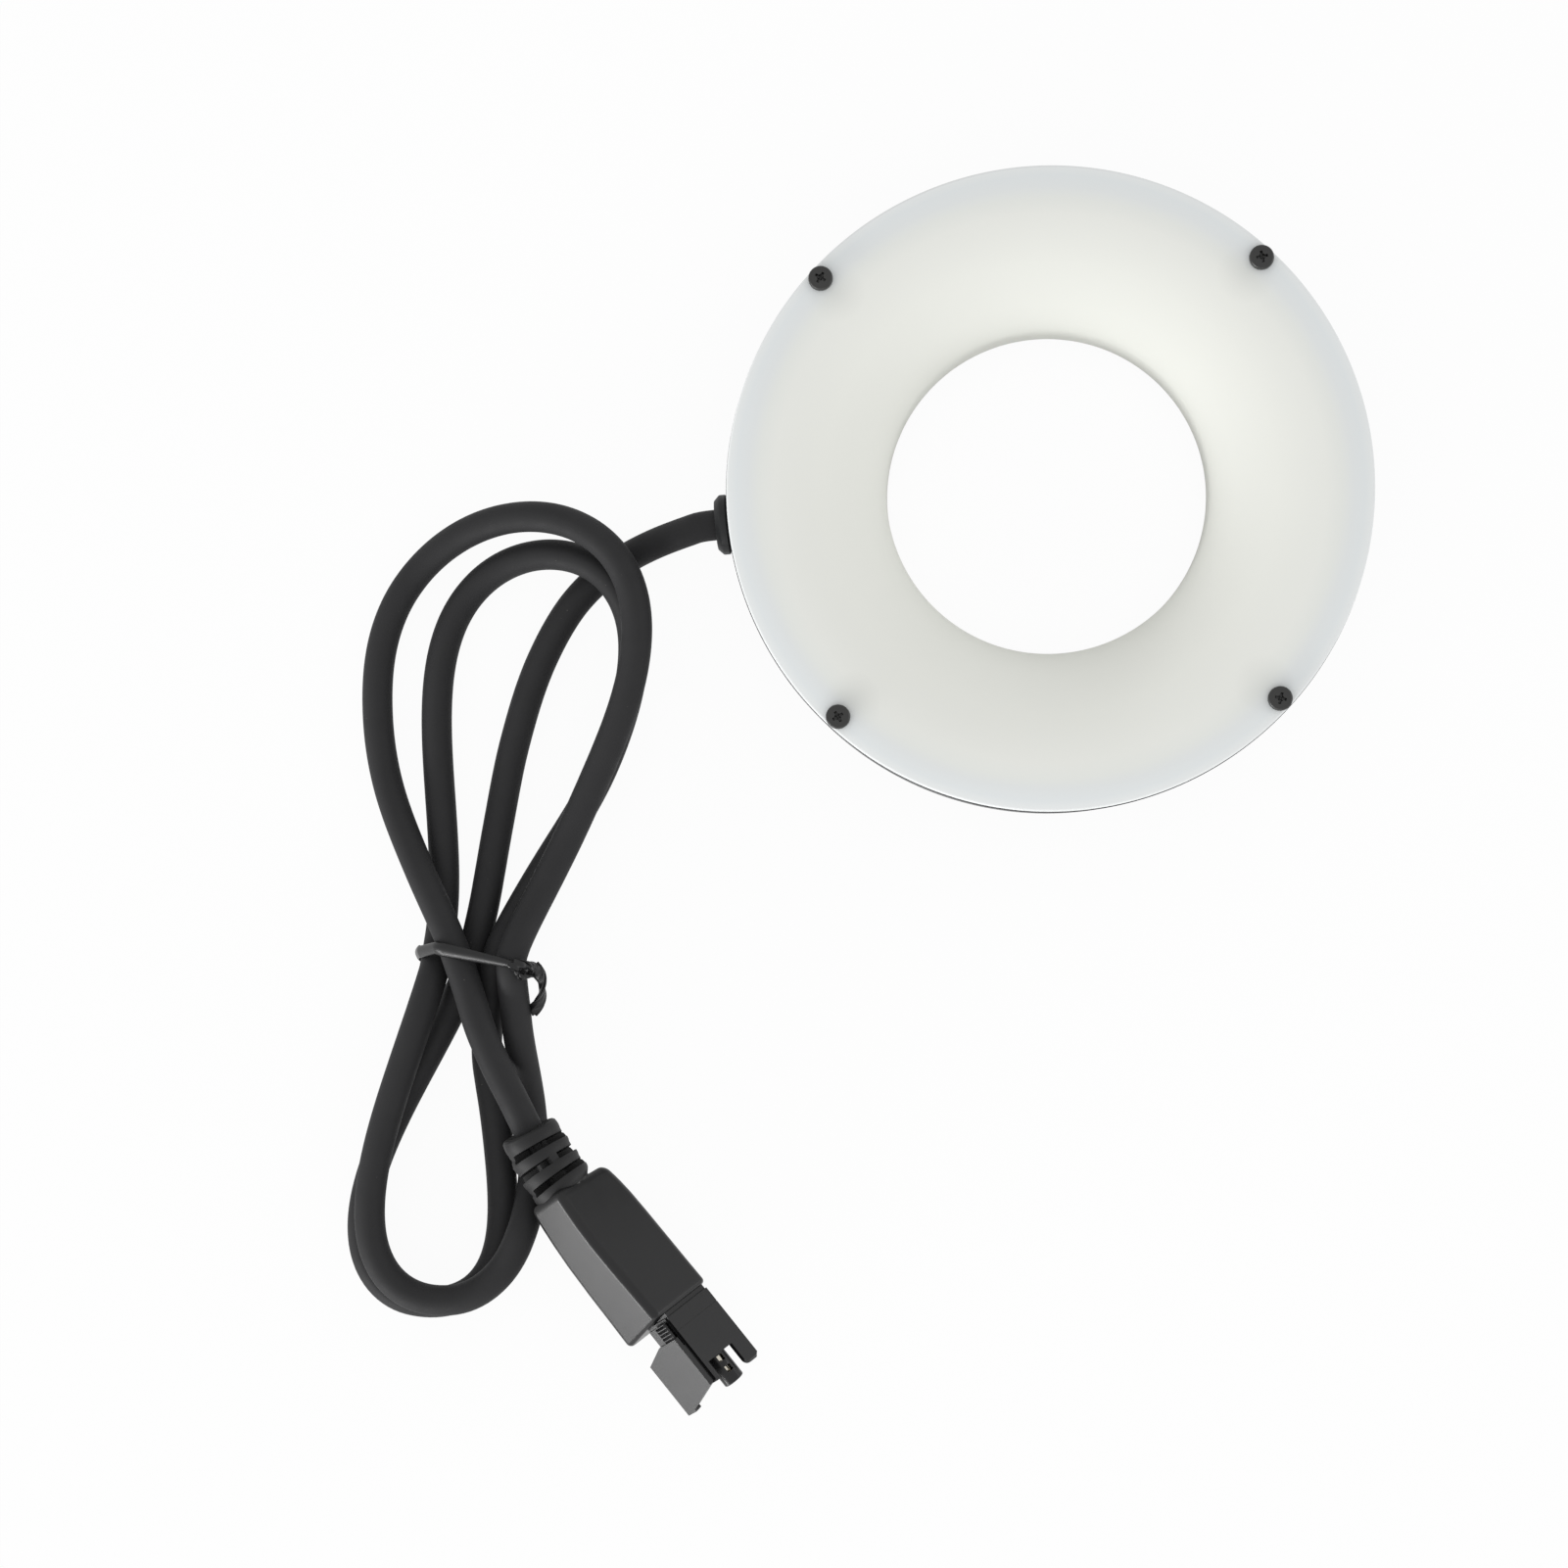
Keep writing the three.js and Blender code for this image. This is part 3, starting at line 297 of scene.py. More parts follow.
def curve_through(points, steps):
    """A centripetal Catmull-Rom curve through points, with some steps between each two."""
    points = [Vector(point) for point in points]
    ends = [2 * points[0] - points[1], *points, 2 * points[-1] - points[-2]]
    found = []
    for a, b, c, d in zip(ends, ends[1:], ends[2:], ends[3:]):
        knots = [0.0]
        for one, other in ((a, b), (b, c), (c, d)):
            knots.append(knots[-1] + max((other - one).length, 1e-6) ** 0.5)
        t0, t1, t2, t3 = knots
        for step in range(steps):
            t = t1 + (t2 - t1) * step / steps
            ab = a * ((t1 - t) / (t1 - t0)) + b * ((t - t0) / (t1 - t0))
            bc = b * ((t2 - t) / (t2 - t1)) + c * ((t - t1) / (t2 - t1))
            cd = c * ((t3 - t) / (t3 - t2)) + d * ((t - t2) / (t3 - t2))
            abc = ab * ((t2 - t) / (t2 - t0)) + bc * ((t - t0) / (t2 - t0))
            bcd = bc * ((t3 - t) / (t3 - t1)) + cd * ((t - t1) / (t3 - t1))
            found.append(abc * ((t2 - t) / (t2 - t1)) + bcd * ((t - t1) / (t2 - t1)))
    found.append(points[-1])
    return found


def even(points, spacing):
    """The same line with its points about evenly spaced."""
    lengths = [0.0]
    for one, other in zip(points, points[1:]):
        lengths.append(lengths[-1] + (other - one).length)
    count = max(2, round(lengths[-1] / spacing))
    found = []
    k = 0
    for i in range(count + 1):
        wanted = lengths[-1] * i / count
        while k < len(lengths) - 2 and lengths[k + 1] < wanted:
            k += 1
        span = max(lengths[k + 1] - lengths[k], 1e-9)
        found.append(points[k].lerp(points[k + 1], (wanted - lengths[k]) / span))
    return found


# Material helpers

def linear(level):
    """A colour channel from 0 to 255, as the linear value that the shader takes."""
    share = level / 255
    return share / 12.92 if share <= 0.04045 else ((share + 0.055) / 1.055) ** 2.4


def colour(red, green, blue):
    return (linear(red), linear(green), linear(blue), 1.0)


def add_node(tree, kind, values=(), **settings):
    """A new node, with its inputs set to values or wired to the outputs of other nodes."""
    made = tree.nodes.new(kind)
    for key, value in settings.items():
        setattr(made, key, value)
    for name, value in dict(values).items():
        if isinstance(value, bpy.types.NodeSocket):
            tree.links.new(value, made.inputs[name])
        elif value is not None:
            made.inputs[name].default_value = value
    return made


class Finish:
    """A material under construction, with short ways to add and join its nodes."""

    def __init__(self, name, base, roughness, metallic=0.0):
        self.material = bpy.data.materials.new(name)
        self.material.use_nodes = True
        self.tree = self.material.node_tree
        self.shader = self.tree.nodes["Principled BSDF"]
        self.shader.inputs["Base Color"].default_value = base
        self.shader.inputs["Roughness"].default_value = roughness
        self.shader.inputs["Metallic"].default_value = metallic

    def node(self, kind, values=(), **settings):
        return add_node(self.tree, kind, values, **settings)

    def place(self):
        """Where the point is on the object, in metres."""
        return self.node("ShaderNodeTexCoord").outputs["Object"]

    def noise(self, scale, detail=3.0, rough=0.5, vector=None):
        values = {"Scale": scale, "Detail": detail, "Roughness": rough, "Vector": vector or self.place()}
        return self.node("ShaderNodeTexNoise", values).outputs["Fac"]

    def sum(self, operation, first, second=None):
        return self.node("ShaderNodeMath", {0: first, 1: second}, operation=operation).outputs[0]

    def ramp(self, value, stops):
        """Colours at places from 0 to 1."""
        made = self.node("ShaderNodeValToRGB", {"Fac": value})
        made.color_ramp.interpolation = "LINEAR"
        elements = made.color_ramp.elements
        while len(elements) < len(stops):
            elements.new(0.5)
        for element, (place, shade) in zip(elements, stops):
            element.position = place
            element.color = shade
        return made.outputs["Color"]

    def map(self, value, low, high, to_low=0.0, to_high=1.0):
        values = {"Value": value, "From Min": low, "From Max": high, "To Min": to_low, "To Max": to_high}
        return self.node("ShaderNodeMapRange", values).outputs["Result"]

    def mix(self, share, first, second):
        values = {"Factor": share, 6: first, 7: second}
        return self.node("ShaderNodeMix", values, data_type="RGBA").outputs[2]

    def wire(self, value, name):
        """Wires a value to an input of the shader."""
        self.tree.links.new(value, self.shader.inputs[name])

    def base(self, value):
        self.wire(value, "Base Color")

    def roughness(self, value):
        self.wire(value, "Roughness")

    def bump(self, height, distance):
        values = {"Distance": distance * MM, "Strength": 1.0, "Height": height}
        self.wire(self.node("ShaderNodeBump", values).outputs["Normal"], "Normal")

    def specular(self, level):
        self.shader.inputs["Specular IOR Level"].default_value = level
        return self


def plastic(
    name, base, roughness, grain=900.0, grain_depth=0.01, mottle=0.06, specks=0.0, gloss=0.5, uneven=0.05,
):
    """Moulded plastic: a fine grain, slight mottling, and specks of dust where they show."""
    made = Finish(name, base, roughness).specular(gloss)
    light = tuple(min(1.0, channel * (1 + mottle)) for channel in base[:3]) + (1.0,)
    dark = tuple(channel * (1 - mottle) for channel in base[:3]) + (1.0,)
    tint = made.mix(made.noise(120.0, 4.0), dark, light)
    if specks:
        dots = made.map(made.noise(2600.0, 2.0, 0.6), 0.74, 0.80)
        rare = made.map(made.noise(260.0, 2.0), 0.52, 0.62)
        share = made.sum("MULTIPLY", made.sum("MULTIPLY", dots, rare), specks)
        tint = made.mix(share, tint, colour(176, 172, 164))
    made.base(tint)
    made.roughness(made.map(made.noise(300.0, 5.0), 0.3, 0.7, roughness - uneven, roughness + uneven))
    made.bump(made.noise(grain * 10, 2.0), grain_depth)
    return made


# How much rougher the strain relief is than the rest of the plug, and where that fades out round its end
RELIEF_MATT = 0.28
MATT_FADE = (-0.6, 0.8)


def plug_finish():
    """The plug's glossy plastic, which is matt on the strain relief."""
    made = plastic("plug_pbt", colour(20, 20, 21), 0.3, 500.0, 0.002, 0.04, 0.05, 0.36, 0.02)
    base = made.shader.inputs["Roughness"].links[0].from_socket
    values = {0: made.place(), 1: PLUG_ORIGIN * MM}
    away = made.node("ShaderNodeVectorMath", values, operation="SUBTRACT")
    along = made.node("ShaderNodeVectorMath", {0: away.outputs[0], 1: PLUG_ALONG}, operation="DOT_PRODUCT")
    fade_start, fade_end = ((RELIEF_LENGTH + far) * MM for far in MATT_FADE)
    matt = made.map(along.outputs["Value"], fade_start, fade_end, RELIEF_MATT, 0.0)
    made.roughness(made.sum("ADD", base, matt))
    return made.material


def metal(name, base, roughness):
    """Bare or plated metal, with fine scratches."""
    made = Finish(name, base, roughness, 1.0)
    stretched = made.node("ShaderNodeMapping", {"Scale": (1.0, 14.0, 1.0), "Vector": made.place()})
    lines = made.noise(900.0, 3.0, 0.6, stretched.outputs["Vector"])
    made.roughness(made.map(lines, 0.3, 0.7, roughness - 0.08, roughness + 0.1))
    tone = tuple(channel * 0.86 for channel in base[:3]) + (1.0,)
    made.base(made.mix(made.noise(150.0, 3.0), tone, base))
    made.bump(lines, 0.004)
    return made


# Cord route: the free lead, the hank's loops and the free tail. It follows the CAD model's, apart from
# small shifts aside of two loops, within a millimetre.

WAIST = (-109.0, -87.1)
LAYER_HEIGHT = 6.4
WAIST_LIFT = 1.1
LIFT_RUN = 14.0
LOOP_START = 0.3
LOOP_STEPS = 48
FLOOR_GAP = 0.1
BULGE_ALONG = 18.0
BULGE_RUN = 7.0
ASIDE_ALONG = 33.0
ASIDE_RUN = 13.0
SLOT = {"lead": -0.2, "under_left": -7.0, "under_right": 4.9, "over_right": 8.6, "tail": -2.3}
LOOPS = [
    {
        "side": -1, "reach": 66.7, "lean": 0.237, "sway": 1.2, "from": "lead", "to": "under_right",
        "out": (-17.2, 2.1), "back": (-22.9, 3.1), "bulge": -0.8,
        "layers": [(0, 0), (0.8, 0), (0.92, 0.5), (1, 0.6)],
    },
    {
        "side": 1, "reach": 77.1, "lean": 0.076, "sway": 11.0, "from": "under_right", "to": "under_left",
        "out": (23.3, 1.9), "back": (23.1, 2.5), "bulge": 0.0, "aside": (0.9, 0.0),
        "layers": [(0, 0.6), (0.16, 0), (0.27, 0), (0.43, 1.06), (0.62, 0), (1, 0)],
    },
    {
        "side": -1, "reach": 63.7, "lean": -0.143, "sway": -12.8, "from": "under_left", "to": "over_right",
        "out": (-18.7, 1.9), "back": (-13.9, 2.5), "bulge": 0.0,
        "layers": [
            (0, 0.16), (0.16, 1), (0.62, 1), (0.71, 0.06), (0.75, 0.06), (0.85, 1.05), (0.92, 1.42),
            (1, 1.42),
        ],
    },
    {
        "side": 1, "reach": 82.4, "lean": -0.049, "sway": 10.2, "from": "over_right", "to": "tail",
        "out": (30.6, 1.6), "back": (30.4, 1.3), "bulge": 0.0, "aside": (-0.5, -0.9),
        "layers": [
            (0, 1.42), (0.15, 1.1), (0.33, 1.9), (0.42, 1.9), (0.62, 0), (0.76, 0), (0.88, 1), (1, 1),
        ],
    },
]
LEAD_ROUTE = [
    (-67.6, -6.6, 8.2), (-74.3, -8.8, 5.4), (-80, -11.5, 3.8), (-84.6, -14.6, 3.1), (-90.6, -20.9, 3),
    (-96.7, -32.1, 3), (-101.4, -47, 3), (-104.4, -62, 3), (-106, -71.2, 3.1),
]
LEAD_JOINT = (-107.2, -78, 3.4)
TAIL_JOINT = (-108.9, -93.4, 11.9)
TAIL_ROUTE = [(-106.5, -100.5, 13), (-103.1, -108.2, 13.1), (-100.3, -113.7, 12.8)]
CORD_END = 51.23
FIT_GAP = 0.3


def eased(share):
    return share * share * (3 - 2 * share)


def straight(share):
    return share


def table_at(rows, place, ease=eased):
    """The values of a table, whose rows start with their place, at a place between two rows."""
    for (start, *near), (end, *far) in zip(rows, rows[1:]):
        if place <= end:
            share = ease((place - start) / (end - start))
            return [one + (other - one) * share for one, other in zip(near, far)]
    return rows[-1][1:]


def loop_point(loop, angle):
    half = math.sin(angle / 2)
    along = loop["reach"] * half ** 2
    width, taper = loop["out"] if angle < math.pi else loop["back"]
    done = (angle - math.sin(angle)) / (2 * math.pi)
    start, stop = SLOT[loop["from"]], SLOT[loop["to"]]
    across = width * math.sin(angle) * half ** taper + start + (stop - start) * done
    across += loop["sway"] * half ** 2
    if angle >= math.pi:
        across += loop["bulge"] * math.exp(-((along - BULGE_ALONG) / BULGE_RUN) ** 2)
    out_aside, back_aside = loop.get("aside", (0.0, 0.0))
    aside = out_aside if angle < math.pi else back_aside
    across += aside * math.exp(-((along - ASIDE_ALONG) / ASIDE_RUN) ** 2)
    near = max(0.0, 1 - along / LIFT_RUN)
    layer = table_at(loop["layers"], angle / (2 * math.pi))[0]
    lean = loop["lean"]
    return Vector((
        WAIST[0] + loop["side"] * along * math.sin(lean) + across * math.cos(lean),
        WAIST[1] + loop["side"] * along * math.cos(lean) - across * math.sin(lean),
        CORD_RADIUS + FLOOR_GAP + WAIST_LIFT * eased(near) + LAYER_HEIGHT * layer,
    ))


def hank_points():
    turns = [LOOP_START + (2 * math.pi - 2 * LOOP_START) * i / LOOP_STEPS for i in range(LOOP_STEPS + 1)]
    return [loop_point(loop, angle) for loop in LOOPS for angle in turns]


def polar(radius, degrees, height):
    angle = math.radians(degrees)
    return Vector((radius * math.cos(angle), radius * math.sin(angle), height))


# The plug's frame, as in the CAD model: X from the cord to the tip, Y away from the latch, Z to its top face

PLUG_ORIGIN = Vector((-98.6, -120.4, 12.2))
PLUG_HEADING = math.radians(-51.6)
PLUG_PITCH = math.radians(-3.7)
PLUG_ROLL = math.radians(48.5)
RELIEF_LENGTH = 12.7
RELIEF_SLOPE = math.tan(math.radians(12.4))
RELIEF_OFFSET = RELIEF_SLOPE * RELIEF_LENGTH / 2


def plug_matrix():
    ahead = Vector((math.cos(PLUG_HEADING), math.sin(PLUG_HEADING), 0))
    across = Vector((-math.sin(PLUG_HEADING), math.cos(PLUG_HEADING), 0))
    along = ahead * math.cos(PLUG_PITCH) + Vector((0, 0, math.sin(PLUG_PITCH)))
    high = along.cross(across)
    roll = Matrix.Rotation(-PLUG_ROLL, 3, along)
    turned_axes = Matrix((along, roll @ across, roll @ high)).transposed()
    return Matrix.Translation(PLUG_ORIGIN * MM) @ turned_axes.to_4x4()


PLUG = plug_matrix()
PLUG_ALONG = (PLUG.to_3x3() @ Vector((1, 0, 0))).normalized()
PLUG_ACROSS = Vector((-math.sin(PLUG_HEADING), math.cos(PLUG_HEADING), 0))
CORD_ENTRY = PLUG_ORIGIN + PLUG_ACROSS * RELIEF_OFFSET
CORD_HEADING = (PLUG_ALONG - PLUG_ACROSS * RELIEF_SLOPE).normalized()


def cord_line():
    hank = hank_points()
    lead_joint = Vector(LEAD_JOINT)
    tail_joint = Vector(TAIL_JOINT)
    radii = [CORD_END, WALL_INNER, GLAND_MOUTH + CORD_RADIUS]
    points = [polar(radius, GLAND_ANGLE, GLAND_HEIGHT) for radius in radii]
    points += [Vector(place) for place in LEAD_ROUTE]
    points.append(lead_joint)
    points += hank
    points.append(tail_joint)
    points += [Vector(place) for place in TAIL_ROUTE]
    points.append(CORD_ENTRY - CORD_HEADING * CORD_RADIUS)
    points.append(CORD_ENTRY + CORD_HEADING * FIT_GAP)
    return even(curve_through(points, 6), 1.0), hank


def add_cord(material):
    line, hank = cord_line()
    piece = sweep("cord_flex", line, lambda share: circle(CORD_RADIUS, 24))
    smooth(piece, 60)
    dress(piece, material, ["cord_lead", "cord_hank", "cord_tail"])
    return piece, line, hank


# Diffuser and housing

FLARE_STEPS = 40


def flare(outer, top, inner, depth):
    points = []
    for i in range(FLARE_STEPS + 1):
        angle = math.pi / 2 * i / FLARE_STEPS
        points.append((outer - (outer - inner) * math.sin(angle), top - depth * (1 - math.cos(angle))))
    return points


def rounded_corner(corner, before, after, radius, steps=4):
    """The points that round a profile's corner off."""
    corner, before, after = Vector(corner), Vector(before), Vector(after)
    start = corner + (before - corner).normalized() * radius
    end = corner + (after - corner).normalized() * radius
    found = []
    for i in range(steps + 1):
        share = i / steps
        point = start * (1 - share) ** 2 + corner * 2 * share * (1 - share) + end * share ** 2
        found.append((point.x, point.y))
    return found


def add_diffuser(material):
    flat = RIM_RADIUS - RIM_WIDTH
    top = flare(flat, RING_HEIGHT, TUBE_RADIUS, FLARE_DEPTH)
    under = flare(flat, RIM_LOW, TUBE_OUTER, FLARE_DEPTH - DIFFUSER_STEP)
    profile = [(TUBE_OUTER, TUBE_LOW), *reversed(under), (RIM_RADIUS, RIM_LOW)]
    profile += rounded_corner((RIM_RADIUS, RING_HEIGHT), (RIM_RADIUS, RIM_LOW), (flat, RING_HEIGHT), 0.45)
    profile += [(flat + 1.5, RING_HEIGHT), *top, (TUBE_RADIUS, TUBE_LOW)]
    piece = lathe("diffuser_plate", profile)
    for angle in SCREW_ANGLES:
        hole = rod("hole", SCREW_HOLE, RIM_LOW - 1, RING_HEIGHT + 1, 32)
        cut(piece, moved(hole, shift(*polar(SCREW_CIRCLE, angle, 0))))
    smooth(piece, 30)
    return dress(piece, material, ["diffuser"])


def radial_out():
    return shift(0, 0, GLAND_HEIGHT) @ turn(GLAND_ANGLE, "Z") @ turn(90, "Y")


def add_housing(material):
    edge = HOUSING_EDGE
    profile = [(BORE_RADIUS + edge / 2, 0), (RING_RADIUS - edge, 0), (RING_RADIUS, edge)]
    profile += [(RING_RADIUS, WALL_TOP - edge / 2), (RING_RADIUS - edge / 2, WALL_TOP)]
    profile += [(WALL_INNER, WALL_TOP), (WALL_INNER, HOUSING_FLOOR), (LIP_RADIUS, HOUSING_FLOOR)]
    profile += [(LIP_RADIUS, HOUSING_LIP), (BORE_RADIUS, HOUSING_LIP), (BORE_RADIUS, edge / 2)]
    piece = lathe("housing_shell", profile)
    for angle in SCREW_ANGLES:
        boss = rod("boss", BOSS_RADIUS, BOSS_FOOT, WALL_TOP - 0.05)
        join(piece, moved(boss, shift(*polar(SCREW_CIRCLE - BOSS_INSET, angle, 0))))
    for angle in SCREW_ANGLES:
        centre = polar(SCREW_CIRCLE, angle, 0)
        cut(piece, moved(rod("hole", SCREW_HOLE, 10.7, WALL_TOP + 1, 32), shift(*centre)))
        mouth = turned("mouth", [(0, -1), (1.75, -1), (1.75, 0), (1.25, 0.5), (1.25, 5), (0, 5.6)], 40)
        cut(piece, moved(mouth, shift(*centre)))
    cut(piece, moved(rod("hole", GLAND_HOLE, WALL_INNER - 1, RING_RADIUS + 1), radial_out()))
    smooth(piece, 30)
    return dress(piece, material, ["housing"])


# Screws

HEAD_RADIUS = 2.27
HEAD_HEIGHT = 1.6
HEAD_EDGE = 0.42
SHANK_RADIUS = 1.25
SHANK_LENGTH = 8.0
SCREW_TURNS = [12, 58, 31, 76]
# The cross recess: half the length and width of its arms, and how much of each is left at its foot
ARM_REACH = 1.35
ARM_HALF = 0.3
FOOT_LENGTH = 0.62
FOOT_WIDTH = 0.7


def pan_head(name):
    """A pan-head screw with a cross recess, its head's underside at z = 0."""
    radius, height, shank, length = HEAD_RADIUS, HEAD_HEIGHT, SHANK_RADIUS, SHANK_LENGTH
    crown = []
    for i in range(9):
        angle = math.pi / 2 * i / 8
        away = radius - HEAD_EDGE + HEAD_EDGE * math.cos(angle)
        crown.append((away, height * 0.5 + height * 0.36 * math.sin(angle)))
    crown.append((radius * 0.5, height * 0.97))
    profile = [(0, -length), (shank * 0.7, -length), (shank, -length + 0.4), (shank, 0), (radius, 0)]
    piece = turned(name, [*profile, *crown, (0, height)], 64)
    for quarter in (0, 90):
        wing = box("wing", (-ARM_REACH, -ARM_HALF, height - 1.0), (ARM_REACH, ARM_HALF, height + 1))
        for vertex in wing.data.vertices:
            if vertex.co.z < height * MM:
                vertex.co.x *= FOOT_LENGTH
                vertex.co.y *= FOOT_WIDTH
        cut(piece, moved(wing, turn(quarter, "Z")))
    pit = turned("pit", [(0, height - 1.25), (0.45, height - 0.9), (0.78, height + 1), (0, height + 1)], 24)
    cut(piece, pit)
    return piece


def add_screws(material):
    for i, (angle, twist) in enumerate(zip(SCREW_ANGLES, SCREW_TURNS), 1):
        piece = pan_head(f"pan_screw_{i}")
        moved(piece, shift(*polar(SCREW_CIRCLE, angle, RING_HEIGHT + 0.1)) @ turn(twist, "Z"))
        smooth(piece, 32)
        dress(piece, material, [f"diffuser_screw_{i}"])


# Gland

def add_gland(material):
    face = RING_RADIUS + FIT_GAP
    bore = CORD_RADIUS + 0.12
    profile = [(bore, GLAND_END), (4.0, GLAND_END), (4.0, face), (5.45, face)]
    profile += [(FLANGE_RADIUS, face + 0.15), (FLANGE_RADIUS, face + 1.2), (5.55, face + 1.4)]
    profile += [(4.75, GLAND_MOUTH - 0.12), (4.6, GLAND_MOUTH), (bore + 0.25, GLAND_MOUTH)]
    profile.append((bore, GLAND_MOUTH - 0.3))
    piece = moved(lathe("gland_bush", profile, 96), radial_out())
    smooth(piece, 30)
    dress(piece, material, ["cable_gland"])
    return piece


# Twist tie

TIE_SLOPE = math.radians(-12)
TIE_NORMAL = Vector((-math.sin(TIE_SLOPE), math.cos(TIE_SLOPE), 0))
TIE_ACROSS = Vector((TIE_NORMAL.y, -TIE_NORMAL.x, 0))
TIE_CENTRE = Vector((WAIST[0], WAIST[1], 0))
# How far from its centre the tie meets strands, and the lines up the hank where it looks for them
TIE_REACH = 16
TIE_LINES = (-2.8, -1.4, 0, 1.4)
RIBBON_THICKNESS = 0.34
WIRE_RADIUS = 0.3


def crossings(line, offset):
    found = []
    for one, other in zip(line, line[1:]):
        before = (one - TIE_CENTRE).dot(TIE_NORMAL) - offset
        after = (other - TIE_CENTRE).dot(TIE_NORMAL) - offset
        if before * after > 0 or before == after:
            continue
        at = one.lerp(other, before / (before - after)) - TIE_CENTRE
        if abs(at.dot(TIE_ACROSS)) < TIE_REACH:
            found.append((at.dot(TIE_ACROSS), at.z))
    return found


def outline_round(centres, radius, steps):
    outline = []
    for i in range(steps):
        angle = 2 * math.pi * i / steps
        x, y = math.cos(angle), math.sin(angle)
        far = max(centres, key=lambda c: c[0] * x + c[1] * y)
        outline.append((far[0] + radius * x, far[1] + radius * y))
    return outline


def ribbon(width, thickness, wire):
    """A flat ribbon's section with the wire's round bulge along its middle."""
    half, thin = width / 2, thickness / 2
    return [
        (-thin, -half), (thin, -half), (thin, -wire), (wire * 0.9, -wire * 0.55), (wire, 0),
        (wire * 0.9, wire * 0.55), (thin, wire), (thin, half), (-thin, half), (-thin, wire),
        (-wire * 0.9, wire * 0.55), (-wire, 0), (-wire * 0.9, -wire * 0.55), (-thin, -wire),
    ]


# The band's section, from its lower edge over the wire's crease to its upper edge: (outward, up the hank)
BAND_FACE = [
    (0.10, -1.30), (0.22, -1.32), (0.46, -1.12), (0.74, -0.74), (0.96, -0.34), (1.08, 0.06), (1.1, 0.46),
    (1.02, 0.86), (0.86, 1.18), (0.7, 1.3),
]
BAND_BACK = [(0.5, 1.2), (0.62, 0.6), (0.6, 0.0), (0.42, -0.5), (0.12, -1.1)]
# How far the band strays up the hank, and its share of the full width, by the angle round the strands
BAND_DRIFT = [
    (0, 0.1, 0.45), (22, 0.4, 0.4), (50, 0.75, 0.7), (75, 0.9, 0.95), (100, 0.85, 1.1), (130, 0.5, 1.0),
    (152, 0.35, 0.9), (172, -0.1, 0.9), (192, -1.2, 0.9), (220, -2.4, 0.9), (260, -2.2, 0.9),
    (310, -1.0, 0.8), (360, 0.1, 0.45),
]
BAND_HEIGHT = 9.0
BAND_SINK = 0.45


def tie_point(across, height, offset):
    return TIE_CENTRE + TIE_ACROSS * across + TIE_NORMAL * offset + Vector((0, 0, height))


def add_band(centres):
    """The band round the strands, whose place, lean and width change on the way."""
    outline = outline_round(centres, CORD_RADIUS + 0.1, 180)
    path = [tie_point(x, z, 0) for x, z in outline]
    rings = []
    count = len(path)
    for i, point in enumerate(path):
        along = (path[(i + 3) % count] - path[i - 3]).normalized()
        out = along.cross(TIE_NORMAL).normalized()
        if out.dot(point - tie_point(0, BAND_HEIGHT, 0)) < 0:
            out = -out
        x, z = outline[i]
        degrees = math.degrees(math.atan2(z - BAND_HEIGHT, x)) % 360
        drift, wide = table_at(BAND_DRIFT, degrees)
        thick = 1 - BAND_SINK * max(0.0, -out.z)
        section = BAND_FACE + BAND_BACK
        rings.append([point + out * (s * thick) + TIE_NORMAL * (h * wide + drift) for s, h in section])
    return skin("tie_band", rings, True)


def twist(name, middles, reach, start, end, turns, phase):
    """One ribbon of a twisted pair, wound round the line of the pair's middle."""
    line = even(curve_through(middles, 8), 0.2)
    count = len(line) - 1
    path = []
    for i, middle in enumerate(line):
        along = (line[min(i + 1, count)] - line[max(i - 1, 0)]).normalized()
        first = along.cross(Vector((0, 0, 1))).normalized()
        second = along.cross(first)
        angle = phase + 2 * math.pi * turns * i / count
        path.append(middle + first * (reach * math.cos(angle)) + second * (reach * math.sin(angle)))

    def section_at(share):
        angle = 2 * math.pi * turns * share + phase
        wide = start + (end - start) * share
        return [
            (s * math.cos(angle) - h * math.sin(angle), s * math.sin(angle) + h * math.cos(angle))
            for s, h in ribbon(wide, RIBBON_THICKNESS, min(WIRE_RADIUS, wide * 0.25))
        ]

    return sweep(name, path, section_at)


# The pairs that the tie's ends make: middle line, distance apart, width at the start and end, turns, phase
TIE_PAIRS = {
    "twist": (
        [
            (-100.4, -88.6, 16.9), (-98.6, -88.4, 16.7), (-97.0, -88.5, 16.0), (-95.9, -89.3, 14.9),
            (-95.5, -90.6, 13.6),
        ],
        0.5, 2.0, 1.8, 0.9, 0.4,
    ),
    "fold": (
        [
            (-99.3, -89.5, 16.4), (-98.5, -90.4, 16.3), (-97.5, -90.6, 16.0), (-96.6, -90.1, 15.3),
            (-96.2, -89.4, 14.8),
        ],
        0.3, 1.2, 1.0, 1.0, 1.9,
    ),
    "tail": (
        [
            (-96.0, -88.9, 14.6), (-95.3, -90.4, 13.4), (-94.95, -92.2, 12.5), (-95.0, -94.0, 11.7),
            (-95.7, -95.9, 10.8), (-97.1, -97.5, 9.9),
        ],
        0.32, 2.5, 2.1, 0.7, 1.2,
    ),
}


def add_tie(line, material):
    centres = []
    for offset in TIE_LINES:
        centres += crossings(line, offset)
    band = add_band(centres)
    pieces = [band]
    for name, (*sizes, phase) in TIE_PAIRS.items():
        for i in range(2):
            pieces.append(twist(f"tie_{name}_{i + 1}", *sizes, phase + math.pi * i))
    for piece in pieces:
        smooth(piece, 50)
        nodes = ["twist_tie"] if piece is band else []
        dress(piece, material, nodes)
    return pieces


# Plug pieces, in the plug's frame

